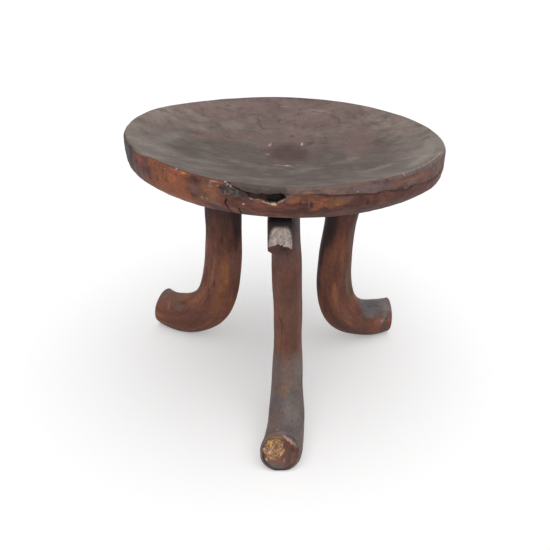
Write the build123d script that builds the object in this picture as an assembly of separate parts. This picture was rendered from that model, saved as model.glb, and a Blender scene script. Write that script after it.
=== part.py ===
from build123d import *
import os
from math import cos, radians, sin, sqrt

os.makedirs("parts", exist_ok=True)

# A low stool in millimetres, +Z up. It is built with the seat's axis upright through X = Y = 0 and the
# front leg towards -Y, and it is moved at the end so that the middle of its box stands on the origin.

# Seat: a thick round board with a dished top, a bowed rim and a shallow rounded underside
seat_diameter = 322.0
rim_height = 283.5
seat_tilt = 2.3
dish_depth = 24.0
lip_width = 5.0
lip_height = 5.0
rim_side_height = 21.0
rim_draw_in_width = 2.0
under_edge_inset_width = 21.0
under_edge_depth = 35.0
under_corner_bulge_height = 2.6
seat_depth = 48.0

# Legs: natural crooks, deeper along their reach than across it, and thicker where they bend
leg_width = 29.0
knee_width = 33.0
foot_width = 36.0
toe_width = 41.0
front_leg_depth = 46.0
left_leg_depth = 47.5
right_leg_depth = 43.5
knee_extra_depth = 5.0
foot_extra_depth = 8.0
front_toe_depth = 49.0
left_toe_depth = 51.5
right_toe_depth = 46.0
sole_wear_depth = 1.8

# Where each leg stands: bearings are turned from the front, and radii are taken from the seat's axis
front_bearing = 0.0
left_bearing = -119.5
right_bearing = 118.0
front_top_radius = 76.0
left_top_radius = 77.0
right_top_radius = 71.0
front_toe_radius = 180.0
left_toe_radius = 181.0
right_toe_radius = 152.0

# How each crook runs, station by station from its top to its toe: the way out as shares of the way from
# the top radius to the toe's radius, and steps aside as shares of the leg's width
front_way_shares = (0.0, 0.02, 0.11, 0.30, 0.60, 1.0)
left_way_shares = (0.0, 0.03, 0.10, 0.27, 0.62, 1.0)
right_way_shares = (0.0, 0.01, -0.01, 0.17, 0.65, 1.0)
front_side_shares = (-0.06, 0.03, 0.07, 0.05, 0.02, -0.16)
left_side_shares = (0.0, 0.05, 0.02, 0.05, 0.08, -0.12)
right_side_shares = (-0.20, -0.02, 0.12, 0.19, 0.18, 0.20)
shin_height_share = 0.594
ankle_height_share = 0.336
knee_height_share = 0.895
toe_tilt = 4.0

# Branch stub, sawn off below the seat on the front leg, with a root that runs up under the seat
stub_face_radius = 111.0
stub_face_width = 23.0
stub_face_height = 22.0
stub_face_depth = 66.5
stub_root_width = 30.0
stub_root_height = 89.0
stub_root_depth = 82.0
stub_side_width = 5.5
stub_corner_radius = 6.0

# Joints: a round tenon on each leg, shut in the seat and spread by a wedge
tenon_diameter = 24.0
tenon_length = 18.0
tenon_root_length = 12.0
mortise_clearance = 0.15
mortise_end_gap = 0.5
wedge_length = 14.0
wedge_thickness = 4.0
wedge_edge_thickness = 1.0

# Broken rim at the front left: a torn hollow, and a split that runs down to the underside
break_bearing = -11.5
break_width = 48.0
break_height = 14.5
break_depth = 8.0
break_shares = (
    (-0.48, -0.12), (-0.33, -0.37), (-0.12, -0.33), (0.15, -0.45), (0.44, -0.41), (0.50, -0.48),
    (0.49, -0.80), (0.36, -1.0), (0.24, -0.99), (-0.12, -0.74), (-0.33, -0.52),
)
split_height = 34.0
split_depth = 6.0
split_shares = ((-0.70, -0.18), (-0.58, -0.16), (-0.52, -0.38), (-0.45, -1.0), (-0.48, -1.0), (-0.56, -0.42))

# One overrun serves every cut
overrun_length = 10.0

seat_radius = seat_diameter / 2
under_radius = seat_radius - under_edge_inset_width
tenon_radius = tenon_diameter / 2


def arc_rise(radius, span, rise):
    """Height at a radius of an arc that starts level on the axis and climbs by rise over span."""
    arc_radius = (span ** 2 + rise ** 2) / (2 * rise)
    return arc_radius - sqrt(arc_radius ** 2 - radius ** 2)


def underside_height(x, y):
    """Height above the floor of the seat's underside at a place seen from above."""
    rise = arc_rise(sqrt(x ** 2 + y ** 2), under_radius, seat_depth - under_edge_depth)
    tilt = radians(seat_tilt)
    return rim_height + (rise - seat_depth) * cos(tilt) - x * sin(tilt)


def out_of(bearing, radius, side, height):
    """A point given by its bearing from the front, the way out, a step aside and the height."""
    turn = radians(bearing)
    x = radius * sin(turn) + side * cos(turn)
    y = side * sin(turn) - radius * cos(turn)
    return Vector(x, y, height)


def seat_board():
    """The whole seat before anything is cut in it: its half section turned about the axis."""
    centre = Vector(0, -dish_depth)
    lip = Vector(seat_radius - lip_width, 0)
    brow = Vector(seat_radius, -lip_height)
    side_foot = Vector(seat_radius - rim_draw_in_width, -rim_side_height)
    under_edge = Vector(under_radius, -under_edge_depth)
    under_centre = Vector(0, -seat_depth)
    corner_chord = under_edge - side_foot
    corner_out = Vector(-corner_chord.Y, corner_chord.X).normalized()
    corner = (side_foot + under_edge) / 2 + corner_out * under_corner_bulge_height
    with BuildPart() as board:
        with BuildSketch(Plane.XZ):
            with BuildLine():
                TangentArc(centre, lip, tangent=(1, 0))
                TangentArc(brow, lip, tangent=(0, 1))
                TangentArc(brow, side_foot, tangent=(0, -1))
                ThreePointArc(side_foot, corner, under_edge)
                TangentArc(under_centre, under_edge, tangent=(1, 0))
                Line(under_centre, centre)
            make_face()
        revolve(axis=Axis.Z)
    return board.part


def rim_cut(shares, height, depth):
    """A prism that enters the rim from outside, its outline given in shares of the break's sizes."""
    outward = out_of(break_bearing, 1, 0, 0)
    along = out_of(break_bearing, 0, 1, 0)
    face = Plane(origin=outward * (seat_radius - depth), x_dir=along, z_dir=outward)
    outline = [(across * break_width, down * height) for across, down in shares]
    return extrude(face * make_face(Polyline(*outline, close=True)), amount=depth + overrun_length)


def tilted(piece):
    """Lifts a piece made on the seat's own axis to its height and leans it as the seat leans."""
    return Pos(0, 0, rim_height) * Rot(0, seat_tilt, 0) * piece


def crook(bearing, top_radius, toe_radius, leg_depth, toe_depth, way_shares, side_shares):
    """A leg's body: oval sections carried down its bent centre line, cut flat where it stands."""
    knee_depth = leg_depth + knee_extra_depth
    foot_depth = leg_depth + foot_extra_depth
    heights = (
        rim_height - (dish_depth + seat_depth) / 2,
        rim_height * shin_height_share,
        rim_height * ankle_height_share,
        foot_depth * knee_height_share,
        foot_depth / 2 - sole_wear_depth,
        toe_depth / 2 - sole_wear_depth,
    )
    depths = (leg_depth, leg_depth, leg_depth, knee_depth, foot_depth, toe_depth)
    widths = (leg_width, leg_width, leg_width, knee_width, foot_width, toe_width)
    points = [
        out_of(bearing, top_radius + (toe_radius - top_radius) * way, leg_width * side, height)
        for way, side, height in zip(way_shares, side_shares, heights)
    ]
    centre_line = Spline(*points)
    across = out_of(bearing, 0, 1, 0)
    places = [centre_line.param_at_point(point) for point in points]
    sections = []
    for index, place in enumerate(places):
        sections.append((place, depths[index], widths[index]))
        if index + 1 < len(places):
            following = index + 1
            middle_depth = (depths[index] + depths[following]) / 2
            middle_width = (widths[index] + widths[following]) / 2
            sections.append(((place + places[following]) / 2, middle_depth, middle_width))
    ovals = []
    for place, depth, width in sections:
        plane = Plane(origin=centre_line @ place, x_dir=across, z_dir=centre_line % place)
        if place == sections[-1][0]:
            plane = plane.rotated((toe_tilt, 0, 0))
        ovals.append(plane * Ellipse(width / 2, depth / 2))
    body = loft(ovals)
    floor_side = 2 * (toe_radius + overrun_length + toe_width)
    below_floor = Pos(0, 0, -toe_depth / 2) * Box(floor_side, floor_side, toe_depth)
    return body - below_floor


def branch_stub():
    """The sawn branch, one side flush with the leg: it narrows to a face, and its underside slopes back."""
    outward = out_of(front_bearing, 1, 0, 0)
    across = out_of(front_bearing, 0, 1, 0)
    root_side = (stub_root_width - stub_face_width) / 2 - stub_side_width
    root_place = out_of(front_bearing, front_top_radius, root_side, rim_height - stub_root_depth)
    face_place = out_of(front_bearing, stub_face_radius, -stub_side_width, rim_height - stub_face_depth)
    root = Plane(origin=root_place, x_dir=across, z_dir=outward)
    face = Plane(origin=face_place, x_dir=across, z_dir=outward)
    return loft([
        root * RectangleRounded(stub_root_width, stub_root_height, stub_corner_radius),
        face * RectangleRounded(stub_face_width, stub_face_height, stub_corner_radius),
    ])


def joint(top):
    """For a leg whose top is at this point: its tenon, the mortise that takes it and the wedge in it."""
    shoulder = underside_height(top.X, top.Y)
    mortise_floor = shoulder + tenon_length + mortise_end_gap
    foot = Pos(top.X, top.Y, shoulder - tenon_root_length)
    rising = (Align.CENTER, Align.CENTER, Align.MIN)
    tenon = foot * Cylinder(tenon_radius, tenon_root_length + tenon_length, align=rising)
    room = Cylinder(tenon_radius, tenon_root_length + tenon_length + mortise_end_gap, align=rising)
    mortise_radius = tenon_radius + mortise_clearance
    mortise = foot * Cylinder(mortise_radius, tenon_root_length + tenon_length + mortise_end_gap, align=rising)
    head = wedge_thickness / 2
    edge = wedge_edge_thickness / 2
    outline = Polyline((-head, 0), (head, 0), (edge, -wedge_length), (-edge, -wedge_length), close=True)
    blade = extrude(Plane.XZ * make_face(outline), amount=tenon_radius, both=True)
    wedge = (Pos(top.X, top.Y, mortise_floor) * blade) & (foot * room)
    return tenon, mortise, wedge


legs = {
    "front": (
        front_bearing, front_top_radius, front_toe_radius, front_leg_depth, front_toe_depth,
        front_way_shares, front_side_shares,
    ),
    "left": (
        left_bearing, left_top_radius, left_toe_radius, left_leg_depth, left_toe_depth,
        left_way_shares, left_side_shares,
    ),
    "right": (
        right_bearing, right_top_radius, right_toe_radius, right_leg_depth, right_toe_depth,
        right_way_shares, right_side_shares,
    ),
}

board = tilted(seat_board())
seat = board
seat -= tilted(rim_cut(break_shares, break_height, break_depth))
seat -= tilted(rim_cut(split_shares, split_height, split_depth))

pieces = {}
for name, form in legs.items():
    bearing, top_radius = form[:2]
    side_shares = form[-1]
    body = crook(*form)
    if name == "front":
        body += branch_stub()
    top = out_of(bearing, top_radius, leg_width * side_shares[0], 0)
    tenon, mortise, wedge = joint(top)
    seat -= mortise
    pieces["leg_" + name] = body - board + tenon - wedge
    pieces["wedge_" + name] = wedge
pieces["seat"] = seat

box = Compound([piece.solid() for piece in pieces.values()]).bounding_box()
to_origin = Pos(-(box.min.X + box.max.X) / 2, -(box.min.Y + box.max.Y) / 2, -box.min.Z)
for name, piece in pieces.items():
    export_step(to_origin * piece.solid(), "parts/" + name + ".step")
    print(name, "volume", round(piece.volume), "valid", piece.is_valid)
print("seat axis now at", round(to_origin.position.X, 2), round(to_origin.position.Y, 2))
print("whole size", round(box.size.X, 1), round(box.size.Y, 1), round(box.size.Z, 1))
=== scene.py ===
# %% [markdown]
# # A three-legged stool with a dished seat
#
# The stool is a thick round board, hollowed on top by hand, on three legs that grew crooked and were cut
# so that their bends became feet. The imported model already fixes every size. This lesson gives each
# piece the uneven surface and the aged finish of the real one: the seat and the legs are worked out
# again as fine numpy surfaces in the same places, and the hidden wedges only get their wood.
#
# All lengths here are millimetres until a mesh is written, because a woodworker thinks in them.

# %% Load the frame
from itertools import product
from types import SimpleNamespace

import bpy
import numpy as np
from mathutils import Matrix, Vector


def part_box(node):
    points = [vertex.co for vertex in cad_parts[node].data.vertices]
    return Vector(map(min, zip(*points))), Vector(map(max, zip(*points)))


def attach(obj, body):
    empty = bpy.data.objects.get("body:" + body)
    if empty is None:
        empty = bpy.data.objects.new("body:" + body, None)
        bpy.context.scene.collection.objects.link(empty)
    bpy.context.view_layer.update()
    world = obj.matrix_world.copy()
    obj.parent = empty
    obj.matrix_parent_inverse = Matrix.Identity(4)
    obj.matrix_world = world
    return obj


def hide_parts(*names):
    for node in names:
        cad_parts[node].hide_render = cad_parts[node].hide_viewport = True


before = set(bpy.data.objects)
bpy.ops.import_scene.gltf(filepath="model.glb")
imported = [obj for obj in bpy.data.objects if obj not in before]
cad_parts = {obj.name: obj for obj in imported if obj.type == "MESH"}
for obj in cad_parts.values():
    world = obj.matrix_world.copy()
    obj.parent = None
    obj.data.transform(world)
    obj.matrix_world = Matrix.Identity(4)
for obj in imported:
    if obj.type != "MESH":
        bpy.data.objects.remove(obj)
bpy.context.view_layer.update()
MM = 0.001
print("nodes:", ", ".join(sorted(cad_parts)))

# %% [markdown]
# ## Sizes that the frame gives
#
# The seat's own box says where its axis stands, how wide it is and how high its rim lies. The seat leans
# a little to the right, as the photograph shows, so the rim's plane is lower than the box's top by half
# of that lean.

# %% Measure the seat
seat_lean = np.radians(2.3)
seat_low, seat_high = (np.array(corner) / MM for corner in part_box("seat"))
seat_radius = (seat_high[1] - seat_low[1]) / 2
seat_axis = np.array([(seat_low[0] + seat_high[0]) / 2, (seat_low[1] + seat_high[1]) / 2])
rim_height = seat_high[2] - seat_radius * np.sin(seat_lean)
print("seat radius", round(seat_radius, 1), "rim height", round(rim_height, 1), "axis", seat_axis.round(2))

# %% [markdown]
# ## Small tools
#
# Hand-cut wood has no straight line in it. A gradient noise, written for whole arrays, supplies every
# unevenness below. It has no random draw in it, so the stool comes out the same each time. Marks and
# worn places are bounded by soft steps, because nothing on old wood ends in a hard line.

# %% Steps and spots
def step(low, high, value):
    """0 below low, 1 above high, and 3t^2 - 2t^3 between them."""
    share = np.clip((value - low) / (high - low), 0, 1)
    return share * share * (3 - 2 * share)


def window(value, up_from, up_to, down_from, down_to):
    """1 inside a stretch of values and 0 outside it: a step up times a step down."""
    return step(up_from, up_to, value) * (1 - step(down_from, down_to, value))


def within(value, reach):
    """True between the two ends of a reach."""
    return (value > reach[0]) & (value < reach[1])


def spot(distance, size):
    """1 in the middle of a spot and 0 past its size, falling as a step does."""
    return 1 - step(0, 1, distance / size)


def oval_spot(right, up, half_long, half_wide):
    """A spot of size 1, whose distance is the root of (right / half long)^2 + (up / half wide)^2."""
    return spot(np.hypot(right / half_long, up / half_wide), 1.0)


def plane(right, up):
    """Points of a plane: both numbers, and nought as the third."""
    right, up = np.broadcast_arrays(right, up)
    return np.stack([right, up, np.zeros(right.shape)], -1)


# %% Noise
lattice_primes = np.array([73856093, 19349663, 83492791])
seed_stride = 2654435
scrambles = ((13, 1274126177), (15, 668265263))
low_bits = 0x7FFFFFFF
noise_gain = 1.7


def noise(points, cell, seed=0):
    """Gradient noise from about -1 to 1: each corner of a lattice with this cell holds a slope that is worked
    out from its place, and a point takes the heights of its eight corners' slopes, blended by
    6t^5 - 15t^4 + 10t^3 on each axis."""
    place = np.asarray(points) / cell
    corner = np.floor(place).astype(np.int64)
    inside = place - corner
    blend = inside ** 3 * (inside * (inside * 6 - 15) + 10)
    total = np.zeros(place.shape[:-1])
    for move in product((0, 1), repeat=3):
        key = (corner + move) @ lattice_primes + seed * seed_stride
        for shift, factor in scrambles:
            key = ((key ^ (key >> shift)) * factor) & low_bits
        turn = (key & 0xFFFF) / 0x10000 * 2 * np.pi
        lift = (key >> 16) / 0x8000 * 2 - 1
        flat = np.sqrt(np.maximum(1 - lift ** 2, 0))
        slope = np.stack([flat * np.cos(turn), flat * np.sin(turn), lift], -1)
        weight = np.prod(np.where(np.array(move) == 1, blend, 1 - blend), -1)
        total += weight * np.sum((inside - move) * slope, -1)
    return total * noise_gain


def rough(points, cell, seed=0):
    """Three octaves of noise, each half as large and half as strong as the one before."""
    return sum(noise(points, cell / 2 ** octave, seed + octave) / 2 ** octave for octave in range(3))


def wander(values, cell, seed=0):
    """Rough noise along one line, for an edge that wanders."""
    return rough(plane(np.asarray(values, float), 0.0), cell, seed)


def waves(points, parts, seed=0):
    """The sum of several noises. Each part holds its height, noise or rough, how the points are stretched,
    the cell in millimetres and what is added to the seed."""
    return sum(
        height * kind(points * stretch, cell, seed + extra) for height, kind, stretch, cell, extra in parts
    )


def through(knots, values, at):
    """A cubic spline through the knots, whose first two and last two spans are each one cubic. The second
    derivatives solve the usual three-term equations, one for each inner knot."""
    knots = np.asarray(knots, float)
    values = np.asarray(values, float)
    span = np.diff(knots)
    count = len(knots)
    terms = np.zeros((count, count))
    right = np.zeros((count, values.shape[1]))
    terms[0, :3] = span[1], -span[0] - span[1], span[0]
    terms[-1, -3:] = span[-1], -span[-2] - span[-1], span[-2]
    for row in range(1, count - 1):
        terms[row, row - 1:row + 2] = span[row - 1], 2 * (span[row - 1] + span[row]), span[row]
        rise = (values[row + 1] - values[row]) / span[row] - (values[row] - values[row - 1]) / span[row - 1]
        right[row] = 6 * rise
    bend = np.linalg.solve(terms, right)
    cell = np.clip(np.searchsorted(knots, at) - 1, 0, count - 2)
    width = span[cell][:, None]
    after = (at - knots[cell])[:, None]
    before = (knots[cell + 1] - at)[:, None]
    curve = (bend[cell] * before ** 3 + bend[cell + 1] * after ** 3) / (6 * width)
    curve += (values[cell] / width - bend[cell] * width / 6) * before
    return curve + (values[cell + 1] / width - bend[cell + 1] * width / 6) * after


# %% [markdown]
# Each wooden piece is one closed skin: rings of points between two end points. The same function writes
# all of them, and it prints the volume as a proof that the faces look outwards.

# %% Rings to mesh
def normals_of(rings):
    """Unit normals of a grid of rings: the cross product of the way round and the way along."""
    around = np.roll(rings, -1, 1) - np.roll(rings, 1, 1)
    along = np.gradient(rings, axis=0)
    normal = np.cross(along, around)
    return normal / np.maximum(np.linalg.norm(normal, axis=-1, keepdims=True), 1e-9)


def skin(name, rings, paint):
    """A closed mesh of rings that narrow to the middle of the first and of the last one. Paint holds one
    array per attribute, for the rings alone: each middle takes the mean of the ring beside it."""
    rows, columns = rings.shape[:2]
    points = np.vstack([rings[0].mean(0), rings.reshape(-1, 3), rings[-1].mean(0)])
    here = 1 + np.arange(rows * columns).reshape(rows, columns)
    beside = np.roll(here, -1, 1)
    quads = np.stack([here[:-1], here[1:], beside[1:], beside[:-1]], -1).reshape(-1, 4)
    start_fan = np.stack([np.zeros(columns, int), here[0], beside[0]], -1)
    end_fan = np.stack([np.full(columns, len(points) - 1), beside[-1], here[-1]], -1)
    fans = np.vstack([start_fan, end_fan])
    corners = np.concatenate([quads.ravel(), fans.ravel()])
    sides = np.concatenate([np.full(len(quads), 4), np.full(len(fans), 3)])
    mesh = bpy.data.meshes.new(name)
    mesh.vertices.add(len(points))
    mesh.vertices.foreach_set("co", (points * MM).ravel())
    mesh.loops.add(len(corners))
    mesh.loops.foreach_set("vertex_index", corners)
    mesh.polygons.add(len(sides))
    mesh.polygons.foreach_set("loop_start", np.concatenate([[0], np.cumsum(sides)[:-1]]))
    mesh.polygons.foreach_set("use_smooth", np.ones(len(sides), bool))
    mesh.update(calc_edges=True)
    mesh.validate()
    for label, values in paint.items():
        flat = values.reshape(rows * columns, -1)
        full = np.vstack([flat[:columns].mean(0), flat, flat[-columns:].mean(0)]).astype(np.float32)
        kind, field = ("FLOAT_VECTOR", "vector") if full.shape[1] == 3 else ("FLOAT", "value")
        mesh.attributes.new(label, kind, "POINT").data.foreach_set(field, full.ravel())
    one, two, three, four = (points[quads[:, side]] for side in range(4))
    volume = np.sum(one * np.cross(two, three) + one * np.cross(three, four)) / 6
    piece = bpy.data.objects.new(name, mesh)
    bpy.context.scene.collection.objects.link(piece)
    print(name, "triangles", 2 * len(quads) + len(fans), "volume cm3", round(volume / 1000))
    return piece


# %% [markdown]
# ## The seat's section
#
# On the real seat the adze left a dish, a brow a few millimetres round, a side that leans in a little
# and a worn lower corner. A lathe modifier would turn one clean profile. Here the profile is only the
# start: rows run from the middle of the dish over the brow and down to the middle of the underside, and
# columns run round the seat, closer together beside the broken place, where the detail is.

# %% Rows and columns of the seat
dish_depth = 24.0
brow_width, brow_height = 3.2, 3.4
side_height, side_draw_in, side_bow_power = 21.0, 2.2, 1.6
corner_width, corner_height = 21.0, 14.0
seat_depth = 48.0
pole_radius = 2.5
fine_rows_from = 136.0
fine_row, row, wide_row = 0.6, 1.2, 3.2
brow_rows, corner_rows = 8, 22
fine_column, column, wide_column = 0.45, 1.3, 3.2
brow_radius = seat_radius - brow_width
under_radius = seat_radius - corner_width
break_bearing = np.radians(-11.5)
fine_reach = (-50.0, 44.0)
middle_reach = (-170.0, 240.0)


def seat_section():
    """Radius, depth below the rim's plane and bulge for each row. Dish: depth * (1 - share^2). Brow: a
    quarter ellipse. Side: a shallow bow. Corner: a straight slope, and as its bulge what a quarter ellipse
    adds to that. Underside: a shallow bowl, depth falling with the square of the radius."""
    dish = np.arange(pole_radius, fine_rows_from, wide_row)
    dish = np.concatenate([dish, np.arange(fine_rows_from, brow_radius, row)])
    turn = np.linspace(0, np.pi / 2, brow_rows)
    down = np.arange(brow_height + fine_row, side_height, fine_row)
    bow = (down - brow_height) / (side_height - brow_height)
    corner = np.linspace(0, 1, corner_rows)
    corner_reach = corner_width - side_draw_in
    slope = seat_radius - side_draw_in - corner_reach * corner
    ellipse = under_radius + corner_reach * np.sqrt(np.maximum(1 - corner ** 2, 0))
    under = np.arange(under_radius - wide_row, pole_radius, -1.5 * wide_row)
    under_start = side_height + corner_height
    radius = np.concatenate([
        dish, brow_radius + brow_width * np.sin(turn), seat_radius - side_draw_in * bow ** side_bow_power,
        slope, under,
    ])
    depth = np.concatenate([
        dish_depth * (1 - (dish / brow_radius) ** 2), brow_height * (1 - np.cos(turn)), down,
        side_height + corner_height * corner,
        seat_depth - (seat_depth - under_start) * (under / under_radius) ** 2,
    ])
    bulge = np.zeros(len(radius))
    bulge[-len(under) - len(corner):-len(under)] = ellipse - slope
    return radius, depth, bulge, len(dish)


section_radius, section_depth, section_bulge, dish_rows = seat_section()
section_step = np.hypot(np.diff(section_radius), np.diff(section_depth))
section_path = np.concatenate([[0], np.cumsum(section_step)])
section_path -= section_path[dish_rows]
half_round = np.pi * seat_radius
arc = np.concatenate([
    np.arange(-half_round, middle_reach[0], wide_column), np.arange(middle_reach[0], fine_reach[0], column),
    np.arange(*fine_reach, fine_column), np.arange(fine_reach[1], middle_reach[1], column),
    np.arange(middle_reach[1], half_round - column, wide_column),
])
print("seat grid", len(section_radius), "rows by", len(arc), "columns")

# %% [markdown]
# ## Rim height and fullness
#
# Nobody turned this seat on a lathe. Its edge rises and falls by a few millimetres, its lower corner is
# fuller on the right, and its side swells a little left and right of the front. All three were read from
# the photograph where it shows them and guessed behind, at bearings counted in degrees from the front leg
# towards the right. A running mean rounds the steps between them.

# %% Rim height and lower corner by bearing
rim_rise = (
    (-180, -170, -153, -140, -125, -112, -100, -80, -60, -45, -36, -28, -22, -12,
     -2, 6, 13, 25, 40, 57, 75, 90, 105, 120, 133, 149, 163),
    (2.4, 1.1, 0.6, 0.3, 2.2, 3.4, 3.0, 2.2, 1.5, 2.0, 1.0, -0.6, -1.5, -2.0,
     -2.4, -1.8, 0.3, 1.5, 2.0, 3.3, 2.6, 1.8, 2.0, 2.1, 2.1, 2.8, 2.6),
)
corner_fullness = ((-180, -110, -75, -50, -20, 30, 50, 70, 90, 110, 150),
                   (0.6, 0.9, 0.8, 0.6, 0.5, 0.3, 0.55, 1.1, 1.25, 1.1, 0.7))
side_swell = ((-180, -90, -55, -20, 30, 62, 100), (0, 0, 2.0, 0, 0, 2.4, 0))


def by_bearing(table, bearing, ease=9.0):
    """Straight lines between values given at bearings in degrees, then the mean over nearby bearings."""
    degrees = np.degrees(bearing)
    turns = np.linspace(-ease, ease, 7)
    return np.mean([np.interp(degrees + turn, *table, period=360) for turn in turns], axis=0)


# %% [markdown]
# ## The broken rim
#
# The broken place is a piece of rim that was torn out below the brow, with a crack that runs out of it
# to the left and a split beside it. Two places describe every point of the rim: the arc in millimetres
# from the break's middle, and the drop in millimetres below the rim's plane. Lines drawn in those two,
# each ragged by a little noise, bound the hollow, the bare scar and the split, and the wood is moved
# straight in towards the axis. A boolean cut would leave clean faces where the real wood tore.

# %% Lines and places of the break, as arc and drop
torn_top = ((-18, -16.7, -11, -5.5, -1.7, 0.5, 5.4, 11.2, 14.4, 21.7, 26.5, 29.8, 33),
            (1.5, 1.5, 4.0, 6.6, 7.3, 7.6, 8.2, 7.4, 8.0, 7.2, 6.4, 7.4, 9.0))
torn_foot = ((-30, -26, -22, -18, -16.7, -11, -5.5, -1.7, 0.4, 2.0, 9.2, 14.6, 18.9, 23.8, 25.4, 29.2, 33),
             (8.0, 6.5, 4.0, 2.2, 2.6, 5.4, 8.2, 9.0, 11.6, 13.1, 12.9, 15.0, 15.8, 15.9, 14.7, 12.0, 9.0))
torn_depth = ((-18, -12, -4, 2, 8, 15, 27, 31.5), (0, 1.8, 2.6, 3.4, 4.2, 8.5, 9.0, 0))
scar_foot = ((-27, -23.3, -20.5, -14.8, -11.4, -7.3, -5.2, 0.4, 3),
             (6, 7.6, 10.0, 12.7, 13.3, 12.7, 13.5, 11.9, 11))
split_line = ((6.5, 9, 11.3, 16.8, 18.5, 22.5, 27.5, 40),
              (-24.8, -23.4, -21.4, -19.2, -20.2, -19.6, -18.7, -18.3))
split_half = ((5.5, 7, 9, 11.3, 14, 16.8, 18, 27, 40), (0.3, 3.6, 4.0, 3.3, 2.6, 1.9, 1.1, 1.0, 0.9))
facet_line = ((26, 33.8, 41.9, 57.8, 67.3, 76, 94.5, 109.6, 120.3, 131, 137, 145.5, 153.7, 169, 192, 240),
              (6.4, 7.3, 7.1, 6.3, 7.4, 7.9, 8.2, 10.0, 8.0, 10.6, 10.0, 12.2, 9.2, 11.8, 13.0, 8.0))
hollow_reach, scar_reach, line_reach, scratch_reach = (-18, 33), (-27, 3), (0.5, 30.5), (-24, -8)
slate_arc, slate_drop = 32.5, 7.6
notch_arc, notch_path = -8.9, 44
split_path = 52
flakes_arc, flakes_half_long, flakes_drop, flakes_half_high = -35.5, 11.5, 12, 9
facet_stretch = (26, 36, 205, 240)
lip_stretch = (-20, -8, 26, 36)
bare_stretch = (0, 2, 13, 17)


def ragged_line(line, along, height, cell, seed):
    """Straight lines between picked points, made ragged by a wander of this height."""
    return np.interp(along, *line) + height * wander(along, cell, seed)


# %% Masks of the break
def broken_rim(arc, drop, path):
    """How far each point of the rim lies in from the whole rim, and the masks of what the break shows: torn
    wood, scar, the light line below the hollow, which is partly splinters and partly a painted highlight, the
    worn band, the lip above the hollow, the groove under the band, painted dark as shade, the flakes left of
    the split and the creases between them."""
    top = ragged_line(torn_top, arc, 0.5, 5.0, 11)
    foot = ragged_line(torn_foot, arc, 0.35, 4.0, 12)
    scar_end = ragged_line(scar_foot, arc, 0.5, 6.0, 13)
    split_middle = ragged_line(split_line, drop, 0.4, 5.0, 14)
    facet_foot = ragged_line(facet_line, arc, 0.6, 7.0, 16)
    hollow = step(0, 0.8, np.minimum(drop - top, foot - drop)) * within(arc, hollow_reach)
    up_share = (foot - drop) / np.maximum(foot - top, 1)
    hollow_depth = np.interp(arc, *torn_depth) * (0.8 + 0.3 * step(0, 1, up_share))
    scar = step(-0.2, 0.6, drop - foot) * step(0, 1.0, scar_end - drop) * within(arc, scar_reach)
    slate = spot(np.abs(arc - slate_arc), 3.6) * spot(np.abs(drop - slate_drop), 2.6)
    # Partly painted highlight: the light line is where the lower edge of the hollow catches the light, with
    # splinters along it.
    line = spot(np.abs(drop - foot - 0.3), 0.75) * within(arc, line_reach)
    scratch = spot(np.abs(drop - foot - 1.2 + 0.6 * wander(arc, 2.5, 19)), 0.7) * within(arc, scratch_reach)
    split = spot(np.abs(arc - split_middle), np.interp(drop, *split_half)) * step(5.5, 7, drop)
    split *= path < split_path
    split_low = step(16, 19, drop)
    notch = spot(np.abs(arc - notch_arc + 0.4 * wander(drop, 4, 15)), 1.2) * step(22, 25.5, drop)
    notch *= path < notch_path
    on_stretch = window(arc, *facet_stretch)
    facet = step(0, 0.8, facet_foot - drop) * step(-2.0, 0.8, path) * on_stretch
    # Painted shade: the groove under the band is painted dark as the shade in it.
    groove = spot(np.abs(drop - facet_foot - 0.5), 1.1) * on_stretch * (0.55 + 0.45 * wander(arc, 11, 17))
    lip = step(-2.0, 0.8, path) * step(0, 0.5, top - drop) * window(arc, *lip_stretch)
    ragged = noise(plane(arc, drop), 7, 18)
    flaked = step(0, 3, 0.5 * (flakes_half_long - np.abs(arc - flakes_arc)) + 2.5 * ragged)
    flaked *= step(0, 3, 0.6 * (flakes_half_high - np.abs(drop - flakes_drop)) + 2.5 * ragged)
    flaked *= (arc < split_middle) & (path > 1)
    bare_face = window(arc, *bare_stretch) * step(1.0, 2.2, drop - top)
    inward = hollow * hollow_depth + 1.1 * scar + (1.6 + 2.6 * split_low) * split + 2.5 * notch
    inward += 0.8 * facet + 0.9 * groove + lip
    return inward, {
        "torn": np.clip(hollow * (1 - 0.72 * bare_face) + split * split_low + notch, 0, 1),
        "scar": np.clip(scar + slate + 0.9 * split * (1 - split_low) + 0.5 * hollow * bare_face, 0, 1),
        "line": np.clip(line + 0.5 * scratch, 0, 1),
        "band": facet,
        "lip": lip,
        "groove": np.clip(groove, 0, 1),
        "flaked": flaked,
        "crease": flaked * spot(np.abs(ragged), 0.09),
    }
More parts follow.
